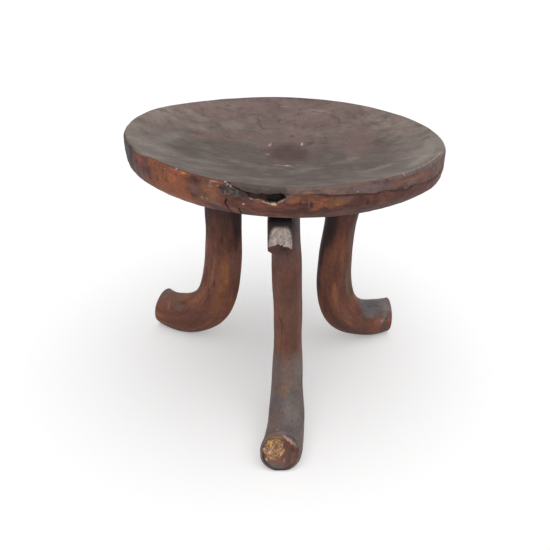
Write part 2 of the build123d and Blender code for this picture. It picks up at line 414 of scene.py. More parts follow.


# %% [markdown]
# ## Dish, dents, marks and painted glints
#
# A seat that was cut with an adze and then sat on for decades is smooth, but never even: broad shallow
# swells, small dents, and a few light marks round the middle, some of them painted glints, where a reddish
# patch of the heart still shows. The marks are placed in millimetres from the seat's axis.

# %% Dents and the heart patch
dents = ((-14.7, 32, 3.2), (-15.5, 0.5, 2.6), (20.3, 38.9, 3.4), (36.5, -30.5, 2.4), (-37, 51.5, 1.8),
         (62, 24, 5), (-70, -40, 6), (-30, 88, 4.5), (88, 62, 6), (44, -84, 5), (-92, 30, 5), (10, 112, 4))
# Painted glints: small bright flecks on the rim, by arc, drop and size.
rim_glints = ((-20.2, 1.6, 1.2), (-18.4, 3.2, 0.9), (-15.1, 4.2, 1.2), (-9.4, 9.0, 0.8), (-81.3, 2.6, 0.9),
               (-68.8, 0, 1.3), (92.4, 3.8, 0.9), (92.2, 6.6, 1.0), (141.6, -1.6, 1.0), (183.4, 0.1, 1.2),
               (61, 14, 0.8), (-33, 4.5, 1.2), (-42, 18.5, 1.2), (-4.2, 18.7, 1.3))
dark_drips = ((-126, 8, 1.8, 6), (-119, 6, 1.3, 4), (-106, 9, 1.7, 6.5), (-92, 12, 1.5, 7),
              (-64, 9, 1.2, 5), (43, 14, 1.3, 6), (52, 15, 1.1, 5), (71, 13, 1.4, 5), (103, 17, 1.6, 5),
              (2.6, 15.6, 3.6, 2.6), (-24, 8.5, 3.0, 3.0))
heart_x, heart_y, heart_half_wide, heart_half_long = 7, 3, 25, 38


def dish_marks(flat):
    """Depth of the dents, each a spot as deep as a quarter of its size, and the heart patch: 1 near its
    middle, 0 past an edge that rough noise moves in and out."""
    x, y = flat[..., 0], flat[..., 1]
    away = np.hypot((x - heart_x) / heart_half_wide, (y - heart_y) / heart_half_long)
    away += 0.22 * rough(flat, 18, 21)
    depth = sum(spot(np.hypot(x - px, y - py), 1.6 * size) * size / 4 for px, py, size in dents)
    return depth, 1 - step(0.5, 1.2, away)


# %% [markdown]
# ## Stains set one by one
#
# Some stains and bright places are where they are by chance, and no formula would put them there. They
# are soft ellipses in a flat picture of the wood, in millimetres: the dish seen from above, the rim
# unrolled from the middle of the break, the bark of a leg unrolled, and the front toe's sawn end. Each
# holds its middle, its turn in degrees, half its length and width, its colour and the most it covers. A
# leg's places start with the leg's name, and their middle is given along the leg and in degrees round it.
#
# The rim shares one picture with the dish, and the sawn end shares one with the bark. Each of them starts
# so far to the right of its neighbour that no mark of one reaches the other.

# %% Tables of stains
rim_start = 1000.0
cap_start = 500.0
bark_radius = 18.0
dish_places = (
    (-96, 112, 38, 26, 7, "#7f6265", 0.55), (38, 124, -12, 22, 7, "#8d7a72", 0.45),
    (-24, 132, 5, 34, 6, "#745a5e", 0.5), (-58, 80, 20, 20, 12, "#857870", 0.4),
    (118, 92, -45, 12, 5, "#4f4543", 0.45), (70, 92, -20, 13, 4, "#514643", 0.45),
    (88, -70, 35, 24, 7, "#877f76", 0.45), (-118, 2, 70, 30, 9, "#857d7b", 0.4),
    (44, 22, 30, 10, 5, "#55433f", 0.5), (-60, 14, 10, 38, 20, "#463f3b", 0.55),
    (-6, -86, 0, 48, 20, "#4b3e3a", 0.45), (-84, -63, 30, 24, 10, "#877c78", 0.35),
    (6, 4, 10, 29, 40, "#3f2b29", 0.9), (126, -68, 60, 30, 8, "#8f897f", 0.5),
    (144, -22, 82, 26, 7, "#8d877e", 0.45),
    (-17, -83, 0, 6, 4, "#8b7f7a", 0.4), (69, -18, 0, 9, 7, "#857a75", 0.4),
    (28, 38, 60, 10, 5, "#453531", 0.75), (104, 78, -60, 16, 4, "#4b413d", 0.5),
    (42, 126, -20, 15, 3, "#8f7f78", 0.5), (-100, 68, -40, 16, 6, "#564b46", 0.4),
)
# Among the rim's places, the light ones just under the brow on the left, as at arcs -60 and -30, are painted
# highlights along the lip.
rim_places = (
    (150, 6, 0, 30, 4, "#7d4f45", 0.45), (165, 19, 0, 38, 8, "#5c362f", 0.55),
    (-36, 13, 0, 13, 10, "#84624f", 0.55), (21.4, 16.5, 0, 3, 0.8, "#efe3b4", 0.9),
    (134, 5, 0, 14, 3, "#80584c", 0.6), (108, 5, 0, 20, 4.5, "#75646a", 0.5),
    (232, 5, 0, 12, 6, "#8a5345", 0.6), (-122, 15, 0, 13, 8, "#66494a", 0.5),
    (166, 4, 0, 9, 3, "#8f5d48", 0.6),
    (150, 4, 0, 16, 2.5, "#8e6455", 0.5), (178, 6, 0, 14, 4, "#7d4d42", 0.6),
    (138, 9, 0, 9, 2, "#54403c", 0.6), (105, 3.5, 0, 10, 2, "#7b6866", 0.5),
    (-84, 8, 90, 6, 0.5, "#553026", 0.7), (-79, 10, 90, 5, 0.5, "#553026", 0.7),
    (-67, 7, 90, 4, 0.6, "#5c3528", 0.7), (7, 10.8, 0, 9, 2.6, "#3c2e33", 0.8),
    (96, 18, 90, 6, 0.8, "#5b3a33", 0.6), (-30.2, 2.7, 0, 5.1, 0.5, "#bda096", 0.7),
    (-26.3, 5.5, 10, 2.1, 1, "#b8776a", 0.8), (-36.1, 10.8, 0, 2.3, 1.5, "#a06544", 0.7),
    (-30.3, 11.8, 0, 2.8, 1.8, "#9a5937", 0.7), (-32.5, 6.8, 0, 3.3, 1.7, "#9d796c", 0.7),
    (-41.4, 20.1, 0, 1.2, 0.7, "#a09460", 0.8), (-36.8, 19.2, 0, 1.2, 0.7, "#b39a6e", 0.8),
    (-29.3, 22.2, -20, 6.5, 3.6, "#7d6254", 0.8), (-20.1, 11.4, 90, 2.6, 1.3, "#8a7760", 0.7),
    (-11.6, 12.7, 0, 2.2, 0.6, "#59604a", 0.6), (-9.1, 9.1, 0, 2.1, 1.6, "#424b44", 0.7),
    (-3.4, 13.5, 0, 3, 0.9, "#664760", 0.8), (2.8, 15.4, 0, 3.2, 1.7, "#654851", 0.8),
    (-3.5, 18.6, 0, 1.3, 1.1, "#a87e6b", 0.8), (33.2, 9.3, 0, 2.8, 2.1, "#656061", 0.7),
    (35.2, 12.9, 0, 4.9, 3.4, "#9a6048", 0.7), (48.2, 5.1, 0, 4.9, 1, "#9c705a", 0.7),
    (55, 3.5, 0, 5, 1.5, "#51403f", 0.6),
    (62, 6.6, 0, 4, 1.1, "#4d3b38", 0.6),
    (67.1, 4.4, 0, 6.8, 1.3, "#9d7365", 0.7), (75.5, 14, 0, 10.5, 4.4, "#8c5f40", 0.7),
    (74.7, 16.3, 0, 1.3, 0.8, "#b37e42", 0.8), (50.5, 14.9, 90, 6.9, 0.35, "#9a776c", 0.3),
    (64.5, 17.8, 80, 4.4, 0.35, "#a07e71", 0.3), (82.4, 10.6, 0, 7.2, 1.8, "#665456", 0.6),
    (152, 7, 0, 9, 3, "#7f6866", 0.5), (140, 11.4, 0, 2.7, 2.8, "#3f2c2a", 0.7),
    (169.1, 12.2, 0, 4, 0.9, "#3f2c2a", 0.6), (-121.6, 4.3, 0, 6.7, 4, "#9a4740", 0.6),
    (-105.5, 8.6, 90, 4.3, 1.8, "#4e2f30", 0.7), (-114.1, 11.4, 90, 3.5, 1.4, "#4e2f30", 0.6),
    (-91, 14.6, 90, 3.8, 1.2, "#4e2f30", 0.6), (-72, 8.4, 0, 8.5, 4.6, "#ae6542", 0.6),
    (-60, 1, 0, 3.2, 1, "#cd8244", 0.8), (-49.3, 12, 0, 5.5, 6, "#7e5a54", 0.7),
    (-166.8, 8.8, 0, 15.7, 6.6, "#3f3a3a", 0.6), (-140.7, 18.4, 0, 10, 5.4, "#3f3a3a", 0.6),
)
leg_places = (
    ("front", 92, -25, 0, 26, 4, "#7d5a4a", 0.5), ("front", 196, -30, 0, 22, 8, "#6e5c5c", 0.5),
    ("front", 215, -8, 0, 12, 3.5, "#84644c", 0.5), ("front", 180, 20, 0, 16, 5, "#75706a", 0.4),
    ("front", 60, -28, 0, 12, 6, "#5c4247", 0.6), ("front", 235, 30, 0, 14, 5, "#6f6a58", 0.4),
    ("left", 128, 159, 0, 24, 6, "#7b544a", 0.8),
    ("left", 262, 41, 90, 8, 3, "#8a6c62", 0.6), ("left", 246, 30, 0, 8, 6, "#6a5548", 0.5),
    ("left", 96, 100, 0, 18, 4, "#6b3f33", 0.6), ("left", 225, 92, 0, 12, 6, "#6b443c", 0.5),
    ("left", 180, 130, 0, 26, 7, "#8a5a3a", 0.5), ("left", 62, 120, 0, 10, 12, "#3f2a28", 0.5),
    ("right", 238, -30, 0, 28, 11, "#5f5c60", 0.7), ("right", 118, 180, 0, 60, 5, "#463739", 0.5),
    ("front", 38, 52, 0, 30, 7, "#544648", 0.6), ("front", 30, 38, 0, 32, 6, "#655a5a", 0.6),
    ("front", 120, 5, 0, 52, 11, "#60463e", 0.6),
    ("front", 250, 20, 0, 14, 5, "#75706c", 0.5), ("front", 232, -28, 0, 16, 7, "#6a595e", 0.5),
    ("front", 205, 8, 0, 10, 3, "#77695c", 0.5), ("front", 62, 0, 0, 14, 10, "#6b504a", 0.6),
    ("front", 50, -30, 0, 9, 9, "#55403f", 0.55), ("front", 45, 22, 0, 16, 5, "#5f4c4b", 0.6),
    ("right", 118, -44, 0, 82, 6, "#5c5345", 0.6), ("right", 222, -142, 0, 44, 9, "#4c3b35", 0.6),
    ("right", 263, -112, 0, 7, 15, "#4a3e3c", 0.6), ("right", 60, -112, 0, 50, 5, "#6e4438", 0.5),
    ("right", 253, -80, 0, 7, 6, "#8f5d59", 0.75), ("right", 257, -76, 20, 2.5, 2, "#b58a84", 0.7),
    ("right", 200, -96, 0, 16, 5, "#7d5c4c", 0.5), ("right", 152, -60, 0, 26, 3.5, "#77685a", 0.6),
    ("right", 100, -100, 0, 24, 4, "#80503a", 0.6), ("right", 232, -112, 0, 14, 5, "#5f4a4c", 0.5),
)
toe_places = (
    (7.6, 11.9, -42, 10.4, 1.2, "#b6998a", 0.85), (-5, 15, 6, 7, 1.3, "#9c8257", 0.7),
    (8.5, -6, 80, 13, 8, "#5b4a44", 0.75), (-7, -15, 0, 10, 2, "#5f5856", 0.6),
    (-9.4, 8.4, 88, 3.8, 1.5, "#d2a852", 0.85), (-10.2, 0.4, 70, 3.2, 1.7, "#d8ba9c", 0.8),
    (0.6, -1.5, 80, 3.4, 1.4, "#d2ac7c", 0.8), (-4.8, 5, 95, 6.5, 1, "#6b4630", 0.6),
    (-16, 3.5, 90, 1.7, 0.7, "#dccdbf", 0.8), (-13.6, -7.2, 110, 2.2, 0.8, "#cfc2b8", 0.8),
    (3.7, -8.5, 80, 2.8, 0.7, "#b89c90", 0.8), (11, 2.6, -45, 3.4, 1.1, "#46292a", 0.8),
    (8.6, -4, 88, 7, 1.1, "#5e3f37", 0.6), (12, -6, 80, 6, 0.8, "#876156", 0.6),
    (-2, 13.4, 5, 4, 0.8, "#8f7a52", 0.7),
)


# %% Colours and stains
def colour(code, alpha=1.0):
    """A hex colour as the eye sees it, turned into the linear values that light adds up in."""
    parts = np.array([int(code[k:k + 2], 16) / 255 for k in (1, 3, 5)])
    linear = np.where(parts <= 0.04045, parts / 12.92, ((parts + 0.055) / 1.055) ** 2.4)
    return (*map(float, linear), alpha)


def stained(place, marks):
    """Soft ellipses, each laid over the ones before: colour * share + before * (1 - share). Noise moves their
    edges by up to 1 mm, or by half the width of a narrow one. Returns the sum of their colours, each as
    strong as its share, and the share of the wood they hide."""
    flat = place * (1, 1, 0)
    sway_right, sway_up = noise(flat, 4.0, 61), noise(flat, 4.0, 62)
    tint = np.zeros(place.shape)
    hidden = np.zeros(place.shape[:-1])
    for x, y, turn, half_long, half_wide, code, most in marks:
        loose = min(1.0, 0.5 * half_wide)
        right = place[..., 0] - x + loose * sway_right
        up = place[..., 1] - y + loose * sway_up
        cosine, sine = np.cos(np.radians(turn)), np.sin(np.radians(turn))
        away = np.hypot((right * cosine + up * sine) / half_long, (up * cosine - right * sine) / half_wide)
        share = most * (1 - step(0.4, 1.15, away))
        tint = tint * (1 - share[..., None]) + share[..., None] * np.array(colour(code)[:3])
        hidden = hidden * (1 - share) + share
    return tint, hidden


# %% [markdown]
# ## The seat's surface
#
# Adze and knife leave low swells in the dish, facets on the side and a coarser underside. Each is a sum
# of noises with its own height, stretch, size and seed, and the rows and columns of the section carry
# them. The seat leans last, when it is whole.

# %% Work out the seat
dish_swells = ((0.5, noise, (1, 1, 1), 42, 6), (0.16, noise, (0.5, 1, 1), 15, 7))
hand_cuts = (
    (0.45, noise, (1, 1, 0.35), 24, 1), (0.28, noise, (1, 1, 0.5), 9, 2), (0.2, rough, (1, 1, 1), 5, 3),
)
corner_ease = range(-6, 7)


def seat_grid():
    """The seat's places before any tool touches it: the section turned by the bearing. Flat is the place seen
    from above, rim the place on the whole rim with the path down the section as its height, and share the
    radius over the seat's radius."""
    here, radius = np.meshgrid(arc, section_radius)
    depth, path, bulge = (
        np.repeat(values[:, None], len(arc), 1) for values in (section_depth, section_path, section_bulge)
    )
    bearing = break_bearing + here / seat_radius
    return SimpleNamespace(
        arc=here, radius=radius, depth=depth, path=path, bulge=bulge, bearing=bearing,
        share=radius / seat_radius, flat=plane(radius * np.sin(bearing), -radius * np.cos(bearing)),
        rim=np.stack([np.sin(bearing) * seat_radius, -np.cos(bearing) * seat_radius, path], -1),
        on_side=step(0, 3, path) * (radius > under_radius - 6), on_top=path < 1.5,
    )


def seat_skin():
    """Every point of the seat, with the outline's slow wander, the rim's rise, the corner's fullness, tool
    marks and the broken place, and the seat's attributes."""
    at = seat_grid()
    around = at.rim * (1, 1, 0)
    dent, at.heart = dish_marks(at.flat)
    rise = by_bearing(rim_rise, at.bearing) * at.share ** 3
    top_lift = waves(at.flat, dish_swells) * (1 - 0.6 * at.share ** 6) - 0.5 * dent
    adze = 1.1 * np.abs(noise(at.flat * (1, 0.6, 1), 22, 8)) + 0.25 * rough(at.flat, 6, 9)
    lift = np.where(at.on_top, top_lift, -adze * (1 - at.on_side)) + rise * (1 - 0.85 * step(2, 30, at.path))
    lift += 0.35 * at.share ** 6 * noise(around, 26, 10) * (at.path < 20)
    at.drop = np.where(at.path < 0, at.path - rise, at.depth - lift)
    inward, broken = broken_rim(at.arc, at.drop, at.path)
    cuts = waves(at.rim, hand_cuts) + 1.5 * broken["flaked"] * (rough(at.rim, 6, 4) - 0.3)
    outline = at.radius + at.bulge * by_bearing(corner_fullness, at.bearing)
    eased = np.mean([np.roll(outline, shift, 0) for shift in corner_ease], axis=0)
    outline += (eased - outline) * window(at.path, 12, 20, 34, 42)
    outline += by_bearing(side_swell, at.bearing) * window(at.path, 4, 18, 28, 44)
    radius = outline - inward * (at.radius > under_radius) + at.on_side * cuts
    radius += 0.6 * at.share ** 2 * noise(around, 90, 5)
    x = radius * np.sin(at.bearing)
    y = -radius * np.cos(at.bearing)
    z = lift - at.depth
    level_x = x * np.cos(seat_lean) + z * np.sin(seat_lean)
    level_z = z * np.cos(seat_lean) - x * np.sin(seat_lean)
    rings = np.stack([level_x + seat_axis[0], y + seat_axis[1], level_z + rim_height], -1)
    return rings, seat_paint(at, broken)


# %% [markdown]
# ## The seat's stains and painted light
#
# What the eye takes for one brown seat is a dozen masks, each from 0 to 1 on the mesh: where the top is worn
# light or stays brown, which also paints the light and shade of the dish, where the rim turns orange, where
# grease and painted shade darken it, where painted highlights and glints lie, where the worn band is, and
# where the bare wood of the break shows. The stains set one by one come as two more attributes, their tint
# and how much of the wood they hide. Places for patterns are kept in metres, and stretched so that a
# pattern runs with the cut of the dish or of the rim.

# %% Masks of the seat
pattern_stretches = {
    "grain": ((1, 1, 1), (1, 1, 1), (1, 1, 1)),
    "strokes": ((0.6, 1, 0.55), (1, 1, 0.55), (1, 1, 0.3)),
    "mottles": ((0.55, 1, 0.6), (1, 1, 0.5), (1, 1, 0.5)),
}
far_from_marks = (0, 0, 1000)
fresh_arc, fresh_drop = 21.4, 16.4


def top_masks(at):
    """How light and how brown the worn top is: lighter towards both sides and the back and darker at the back
    right, which is partly wear and partly painted light and shade on the dish's slopes, and browner at the
    back and on the heart patch."""
    x, y = at.flat[..., 0], at.flat[..., 1]
    sides = step(0.5, 0.95, at.share) * np.abs(np.sin(at.bearing)) ** 1.5
    back = step(15, 95, y)
    cloudy = 0.75 * noise(at.flat * (0.7, 1, 1), 20, 37) + 0.55 * noise(at.flat * (0.7, 1, 1), 7.5, 38)
    # Painted light and shade: the lighter back and sides and the darker back right follow how the light falls
    # on the dish, as well as its wear.
    light = 0.12 + 0.41 * sides + 0.44 * back - 0.20 * step(60, 130, x) * step(30, 100, y) - 0.18 * at.heart
    light += cloudy * (0.35 + 0.95 * back) * (1 - 0.75 * sides) + 0.14 * noise(at.flat, 36, 35)
    brown = step(0.0, 1.0, 0.5 + y / 130 + 0.4 * noise(at.flat, 60, 34)) * (1 - 0.5 * sides)
    return light, brown + 0.5 * step(130, 158, y) + 0.8 * at.heart


def side_masks(at, broken):
    """How orange and how dark the side is. Orange: the stretch left of the break, which is partly the wood's
    orange and partly painted light on the brighter left of the rim, flecks, the flakes and two places right
    of the break, fading towards the back. Dark: darker towards the lower corner and at both far ends, painted
    shade on the rim right of the break, and the creases, but not the worn band."""
    sway = noise(at.rim, 34, 31)
    fleck = rough(at.rim, 12, 33)
    # Partly painted light: the orange stretch left of the break also stands for the brighter light on the
    # rim's left.
    orange = step(-112, -88, at.arc + 6 * sway) * (1 - step(-64, -40, at.arc + 8 * fleck))
    orange *= 0.85 + 0.3 * fleck
    orange += 0.35 * step(0.0, 0.5, fleck + 0.3 * sway) + 0.45 * broken["flaked"] * step(-0.5, 0.2, fleck)
    orange += 0.5 * spot(np.abs(at.arc - 58), 26) * step(8, 11, at.drop) * step(-0.3, 0.3, fleck)
    orange += 0.6 * oval_spot(at.arc - 38, at.drop - 12, 9, 6)
    orange *= 1 - 0.55 * step(95, 200, np.abs(at.arc - 20))
    low = 0.22 * step(27, 42, at.path) + 0.5 * step(46, 60, at.path)
    low += 0.12 * step(14, 24, at.drop) * (1 + sway)
    left = 0.25 * step(-110, -135, at.arc) + 0.6 * step(-126, -146, at.arc)
    left *= 1 - 0.54 * step(200, 420, -at.arc)
    # Painted shade: the rim right of the break is made darker, as the light falls less on it.
    right = 0.34 * step(40, 75, at.arc) + 0.05 * step(100, 140, at.arc)
    return orange, low + left + right + 0.5 * broken["crease"] - 0.35 * broken["band"]


def light_marks(at, broken):
    """Painted highlights: the chipped light line under the hollow, partly splinters and partly the edge
    catching the light, the small flecks, which are painted glints, and the light edge of the brow, a painted
    highlight.
    """
    chip = step(-0.5, 0.0, noise(at.rim, 2.2, 32))
    ragged = 0.6 * noise(at.rim, 2.6, 36)
    flecks = sum(
        spot(np.hypot(at.arc - px, at.drop - py) + ragged, 1.25 * size) for px, py, size in rim_glints
    )
    degrees = np.degrees(at.bearing)
    # Painted highlight along the top edge of the brow, left and right of the front.
    edge = window(degrees, -75, -62, -24, -16) + window(degrees, 14, 24, 62, 76)
    edge *= spot(np.abs(at.path + 0.6 + 0.8 * wander(at.arc, 3.0, 39)), 2.0)
    edge *= step(-0.8, 0.3, noise(at.rim, 4.5, 40)) * np.where(at.arc > 0, 0.8, 0.35)
    return 0.8 * broken["line"] * (0.45 + 0.55 * chip) + 0.8 * flecks * (at.path > -3) + edge


# %% Attributes of the seat
def seat_paint(at, broken):
    """The seat's attributes. Places for patterns are in metres, masks run from 0 to 1."""
    light, brown = top_masks(at)
    orange, grease_and_shade = side_masks(at, broken)
    drips = sum(oval_spot(at.arc - px, at.drop - py, half, high) for px, py, half, high in dark_drips)
    rim_marks = [(rim_start + along, -down, *rest) for along, down, *rest in rim_places]
    top = at.on_top[..., None]
    place = np.where(top, at.flat, plane(at.arc + rim_start, -at.drop))
    tint, hidden = stained(place, [*dish_places, *rim_marks])
    over_brow = 3.5 * (step(-100, -125, at.arc) + step(110, 150, at.arc))
    worn_top = step(1.5, -1.5, at.path + 1.2 * rough(at.rim, 12, 33) - over_brow)
    worn_band = (0.8 * broken["lip"] + 0.5 * broken["band"] * (1 - step(50, 85, at.arc))) * (at.path > -2)
    masks = {
        "hidden": hidden,
        "worn": np.maximum(worn_top, worn_band),
        "light": light,
        "brown": brown,
        "band": broken["band"] * (1 - 0.4 * step(95, 130, at.arc)),
        "torn": broken["torn"],
        "scar": broken["scar"],
        "fresh": 1.4 * oval_spot(at.arc - fresh_arc, at.drop - fresh_drop, 3.2, 0.9),
        # The pale mask holds painted highlights: glints, the lit edge of the brow and the light line under
        # the hollow.
        "pale": light_marks(at, broken),
        "warm": np.clip(orange, 0, 1) * (at.path > 1.5) * (1 - broken["band"]),
        # The dark coat here holds grease, dark drips and painted shade: on the rim's right and in the groove
        # under the band.
        "soot_and_shade": grease_and_shade * at.on_side + 0.9 * drips * (at.path > 1) + 0.9 * broken["groove"],
    }
    paint = {label: np.clip(mask, 0, 1) for label, mask in masks.items()}
    for label, (on_dish, on_rim, _) in pattern_stretches.items():
        dish_grain, rim_grain = at.flat[..., [1, 2, 0]] * on_dish, at.rim[..., [1, 2, 0]] * on_rim
        paint[label] = np.where(top, dish_grain, rim_grain) * MM
    return paint | {"tint": tint, "place": np.where(top, at.flat, far_from_marks) * MM}


seat_rings, seat_attributes = seat_skin()
seat = skin("seat_wood", seat_rings, seat_attributes)

# %% [markdown]
# ## The crook legs
#
# Each leg is a branch that bends into its own foot. It could be a curve with a bevel, but a bevel has one
# section. Here an oval section is carried down a spline through six stations. A station holds what was
# measured: the way out, the step aside, the height, and half the depth and half the width.
#
# The other values say how a leg aged and where painted shade lies on it: where its painted shade starts, how
# grey its foot is, how warm its bark.
# Single places on the bark are given in millimetres along the leg and degrees round it, with half their
# length and width and the most they count. A speck or a pit has one size instead.

# %% Stations and values of the three legs
usual_leg = {"end_turn": 0.0, "end_tilt": 0.0, "boxy": 0.0, "grey_from": 0.1, "bare_toe": False, "glows": ()}
# A leg's stains are dark places: some are stains, and those on the inner side and under the stub are painted
# shade.
grown_legs = {
    "front": {
        "stations": (
            (76.8, -0.8, 248.0, 24.0, 14.1), (76.8, 1.3, 166.4, 23.2, 15.2), (88.0, 2.9, 95.7, 24.0, 14.5),
            (107.2, 2.2, 52.8, 27.2, 16.3), (137.6, 0.8, 24.8, 28.4, 18.4), (179.2, -5.0, 19.2, 19.6, 20.2),
        ),
        "bearing": 0.0, "end_tilt": -0.15, "boxy": 0.25, "bare_toe": True, "warmth": 0.25,
        "shade_turn": 0, "shade_from": 165, "inner_shade": 0.5, "top_shade": 0.8,
        "foot_grey": 0.95, "foot_brown": 0.4, "grey_from": -0.55,
        "stains_and_shade": ((28, -12, 22, 24, 0.4), (50, -5, 13, 10, 0.5), (105, -52, 60, 4, 0.35),
                   (104, 15, 9, 1.7, 0.6)),
        "greys": ((28, -12, 22, 24, 0.9), (110, 42, 60, 4, 0.4), (34, 40, 30, 5, 0.5)),
        "specks": ((277, -14, 1.4), (238, 8, 0.9)),
        "pits": ((262, 18, 1.3), (250, -6, 1.0), (231, 12, 0.9)),
    },
    "left": {
        "stations": (
            (76.8, 0.0, 248.0, 24.0, 14.4), (79.8, 1.6, 168.0, 23.0, 14.7), (87.0, 0.0, 95.0, 25.3, 14.7),
            (106.1, 1.3, 48.3, 25.9, 16.3), (143.7, 2.7, 26.6, 27.0, 17.9), (185.6, -3.8, 23.6, 24.8, 20.6),
        ),
        "bearing": -119.5, "warmth": 0.65,
        "shade_turn": 20, "shade_from": 120, "inner_shade": 0.1, "top_shade": 0.98,
        "foot_grey": 0.45, "foot_brown": 0.9,
        "stains_and_shade": ((76, 168, 42, 8, 0.6), (112, 162, 24, 3, 0.35), (97, 114, 9, 3, 0.4),
                   (158, 90, 12, 2.8, 0.75)),
        "glows": ((134, 132, 44, 12, 0.75), (98, 88, 30, 3.5, 0.5)),
        "greys": ((283, 5, 13, 11, 0.9), (238, 45, 22, 9, 0.45)),
        "specks": ((262, 50, 1.2), (258, 62, 1.0)),
        "pits": ((246, 22, 1.2), (270, 22, 1.0), (232, 30, 1.1), (262, 62, 1.0)),
    },
    "right": {
        "stations": (
            (74.2, -5.9, 248.0, 27.2, 14.4), (71.7, -0.6, 167.7, 19.5, 14.6), (70.2, 3.5, 87.0, 22.6, 16.5),
            (85.3, 5.6, 46.9, 24.2, 18.4), (126.6, 5.1, 25.1, 23.9, 20.2), (157.0, 5.8, 21.9, 22.2, 18.2),
        ),
        "bearing": 116.0, "end_turn": 0.37, "warmth": 0.38,
        "shade_turn": -20, "shade_from": 130, "inner_shade": 0.2, "top_shade": 0.75,
        "foot_grey": 1.0, "foot_brown": 0.0,
        "stains_and_shade": ((84, -166, 46, 13, 0.7), (125, -178, 62, 7, 0.7)),
        "glows": ((160, -119, 22, 5, 1.0), (112, -95, 30, 6, 0.5)),
        "greys": ((262, -75, 7, 16, 0.7),),
        "specks": ((254, -84, 0.9), (259, -76, 1.0), (251, -78, 0.8)),
        "pits": ((222, -95, 1.1), (206, -100, 1.0)),
    },
}
for leg_name, own in grown_legs.items():
    leg = usual_leg | own
    leg["seam"] = 180 - leg["bearing"]
    leg["marks"] = [
        (along, np.radians((degrees - leg["seam"]) % 360) * bark_radius, *rest)
        for where, along, degrees, *rest in leg_places if where == leg_name
    ]
    grown_legs[leg_name] = leg
grown_legs["front"]["marks"] += [(cap_start + across, up, *rest) for across, up, *rest in toe_places]
leg_row, leg_columns = 0.95, 200
stub_turns, stub_columns, other_columns = (-75, 40), 130, 90
stub_along, stub_row = (12, 75), 0.55
tenon_radius, tenon_length = 12.0, 10.0
tenon_bevel, tenon_tip_share = 0.6, 0.94
toe_round, toe_rings = 2.2, 24
sideways = np.array([0.0, 1.0, 0.0])
print("marks on the legs:", {leg_name: len(leg["marks"]) for leg_name, leg in grown_legs.items()})

# %% [markdown]
# The sawn branch stub of the front leg is the farther of two outlines at every bearing round the leg:
# the leg's oval and a box whose front is the pale sawn face. Its underside slopes back to the leg. Two
# meshes joined by a boolean would meet in a sharp line, and here a fillet grows out of the one formula.

# %% The branch stub
stub_left, stub_right = -17.4, 5.8
stub_middle = -5.2
stub_face = 111.0
stub_top, stub_foot = 229.5, 205.5
stub_heights = (180, 250)
stub_slope = 0.72
stub_round = 7.0
stub_roots = ((7, 9, 203), (6, 7, 200))
stub_edge = ((-16, -14, -7, -5.5, -4, -2.4, 2, 5.5), (206.0, 206.8, 209.2, 207.4, 209.0, 206.6, 206.0, 203.0))
side_fillet, stub_fillet = 3.4, 2.2
dome_height, dome_slope = 11.6, 0.22
shade_right = 9


def soft_most(one, other, width):
    """The larger of two values, with a fillet of about this width where they meet."""
    share = np.clip(0.5 + (one - other) / (2 * width), 0, 1)
    return other + (one - other) * share + width * share * (1 - share)


def stub_reach(angle, centre_out, centre_aside, height, oval):
    """Distance from the leg's centre line to the stub's outline: the nearest of its front and two sides,
    which draw in at the top and at the root. Also the mask of the pale sawn face, whose top is a low dome,
    and the mask of the painted shade between the stub and the seat."""
    ahead = np.cos(angle)
    outward = np.maximum(ahead, 1e-3)
    aside = np.sin(angle)
    at_face = (stub_face - centre_out) / outward * aside + centre_aside
    edge = np.interp(at_face, *stub_edge) + 0.4 * noise(plane(at_face, 0.0), 3, 41)
    over = np.maximum(height - stub_top, 0)
    front = stub_face - np.maximum(stub_foot - height, 0) * stub_slope - over ** 2 / stub_round
    front -= 1.6 * step(0, 1.2, edge - height) * step(0, 5, height - stub_foot + 6)
    front += 0.5 * noise(plane(at_face, height), 5, 42)
    draw_in_right, draw_in_left = (
        5 * step(0, 14, over) + most * step(0, below, start - height) for most, below, start in stub_roots
    )
    to_right = (stub_right - draw_in_right - centre_aside) / np.maximum(aside, 1e-3)
    to_left = (centre_aside - stub_left - draw_in_left) / np.maximum(-aside, 1e-3)
    sides = np.minimum(np.where(aside > 0, to_right, 1e3), np.where(aside < 0, to_left, 1e3))
    to_front = (front - centre_out) / outward
    box = np.where(ahead > -0.2, -soft_most(-to_front, -sides, side_fillet), 0)
    dome = dome_height - dome_slope * (height - stub_foot) - np.abs(at_face - stub_middle)
    dome += 0.5 * noise(plane(at_face, height), 3, 43)
    pale = step(-3.6, 2.6, dome) * step(0.0, 2.4, sides - to_front) * (to_front > oval + 0.8)
    pale *= step(-0.2, 0.6, height - edge) * step(-1, 9, stub_top - height) * (ahead > 0)
    # Painted shade: a band above the stub's top, between its sides, painted dark as the shade under the seat.
    between = step(0, 5, np.minimum(at_face - stub_left, shade_right - at_face)) * (ahead > 0)
    return box, pale, step(-6, 2.5, height - stub_top) * between


# %% [markdown]
# The rows of a leg run from the tenon, hidden in the seat, down to the toe and over its sawn end. The
# last stretch is sheared so that the cut face has its own tilt and turn. Attributes keep a straight
# copy of the branch: a pattern that reads them follows the bend as real grain does.

# %% Rows, columns and both ends of a leg
sawn_fibres = ((0.9, rough, (1, 0.6, 1), 4.5, 5), (0.5, noise, (1, 1, 1), 1.6, 6))
toe_cut_right, toe_cut_up, toe_cut_at, toe_cut_depth = 0.69, 0.72, 12.6, 0.55


def spread(values, knots, at):
    """Values between stations, half on straight lines and half eased by a step, so that none overshoots."""
    cell = np.clip(np.searchsorted(knots, at) - 1, 0, len(knots) - 2)
    share = step(knots[cell], knots[cell + 1], at)
    straight = np.interp(at, knots, values)
    return 0.5 * straight + 0.5 * (values[cell] * (1 - share) + values[cell + 1] * share)


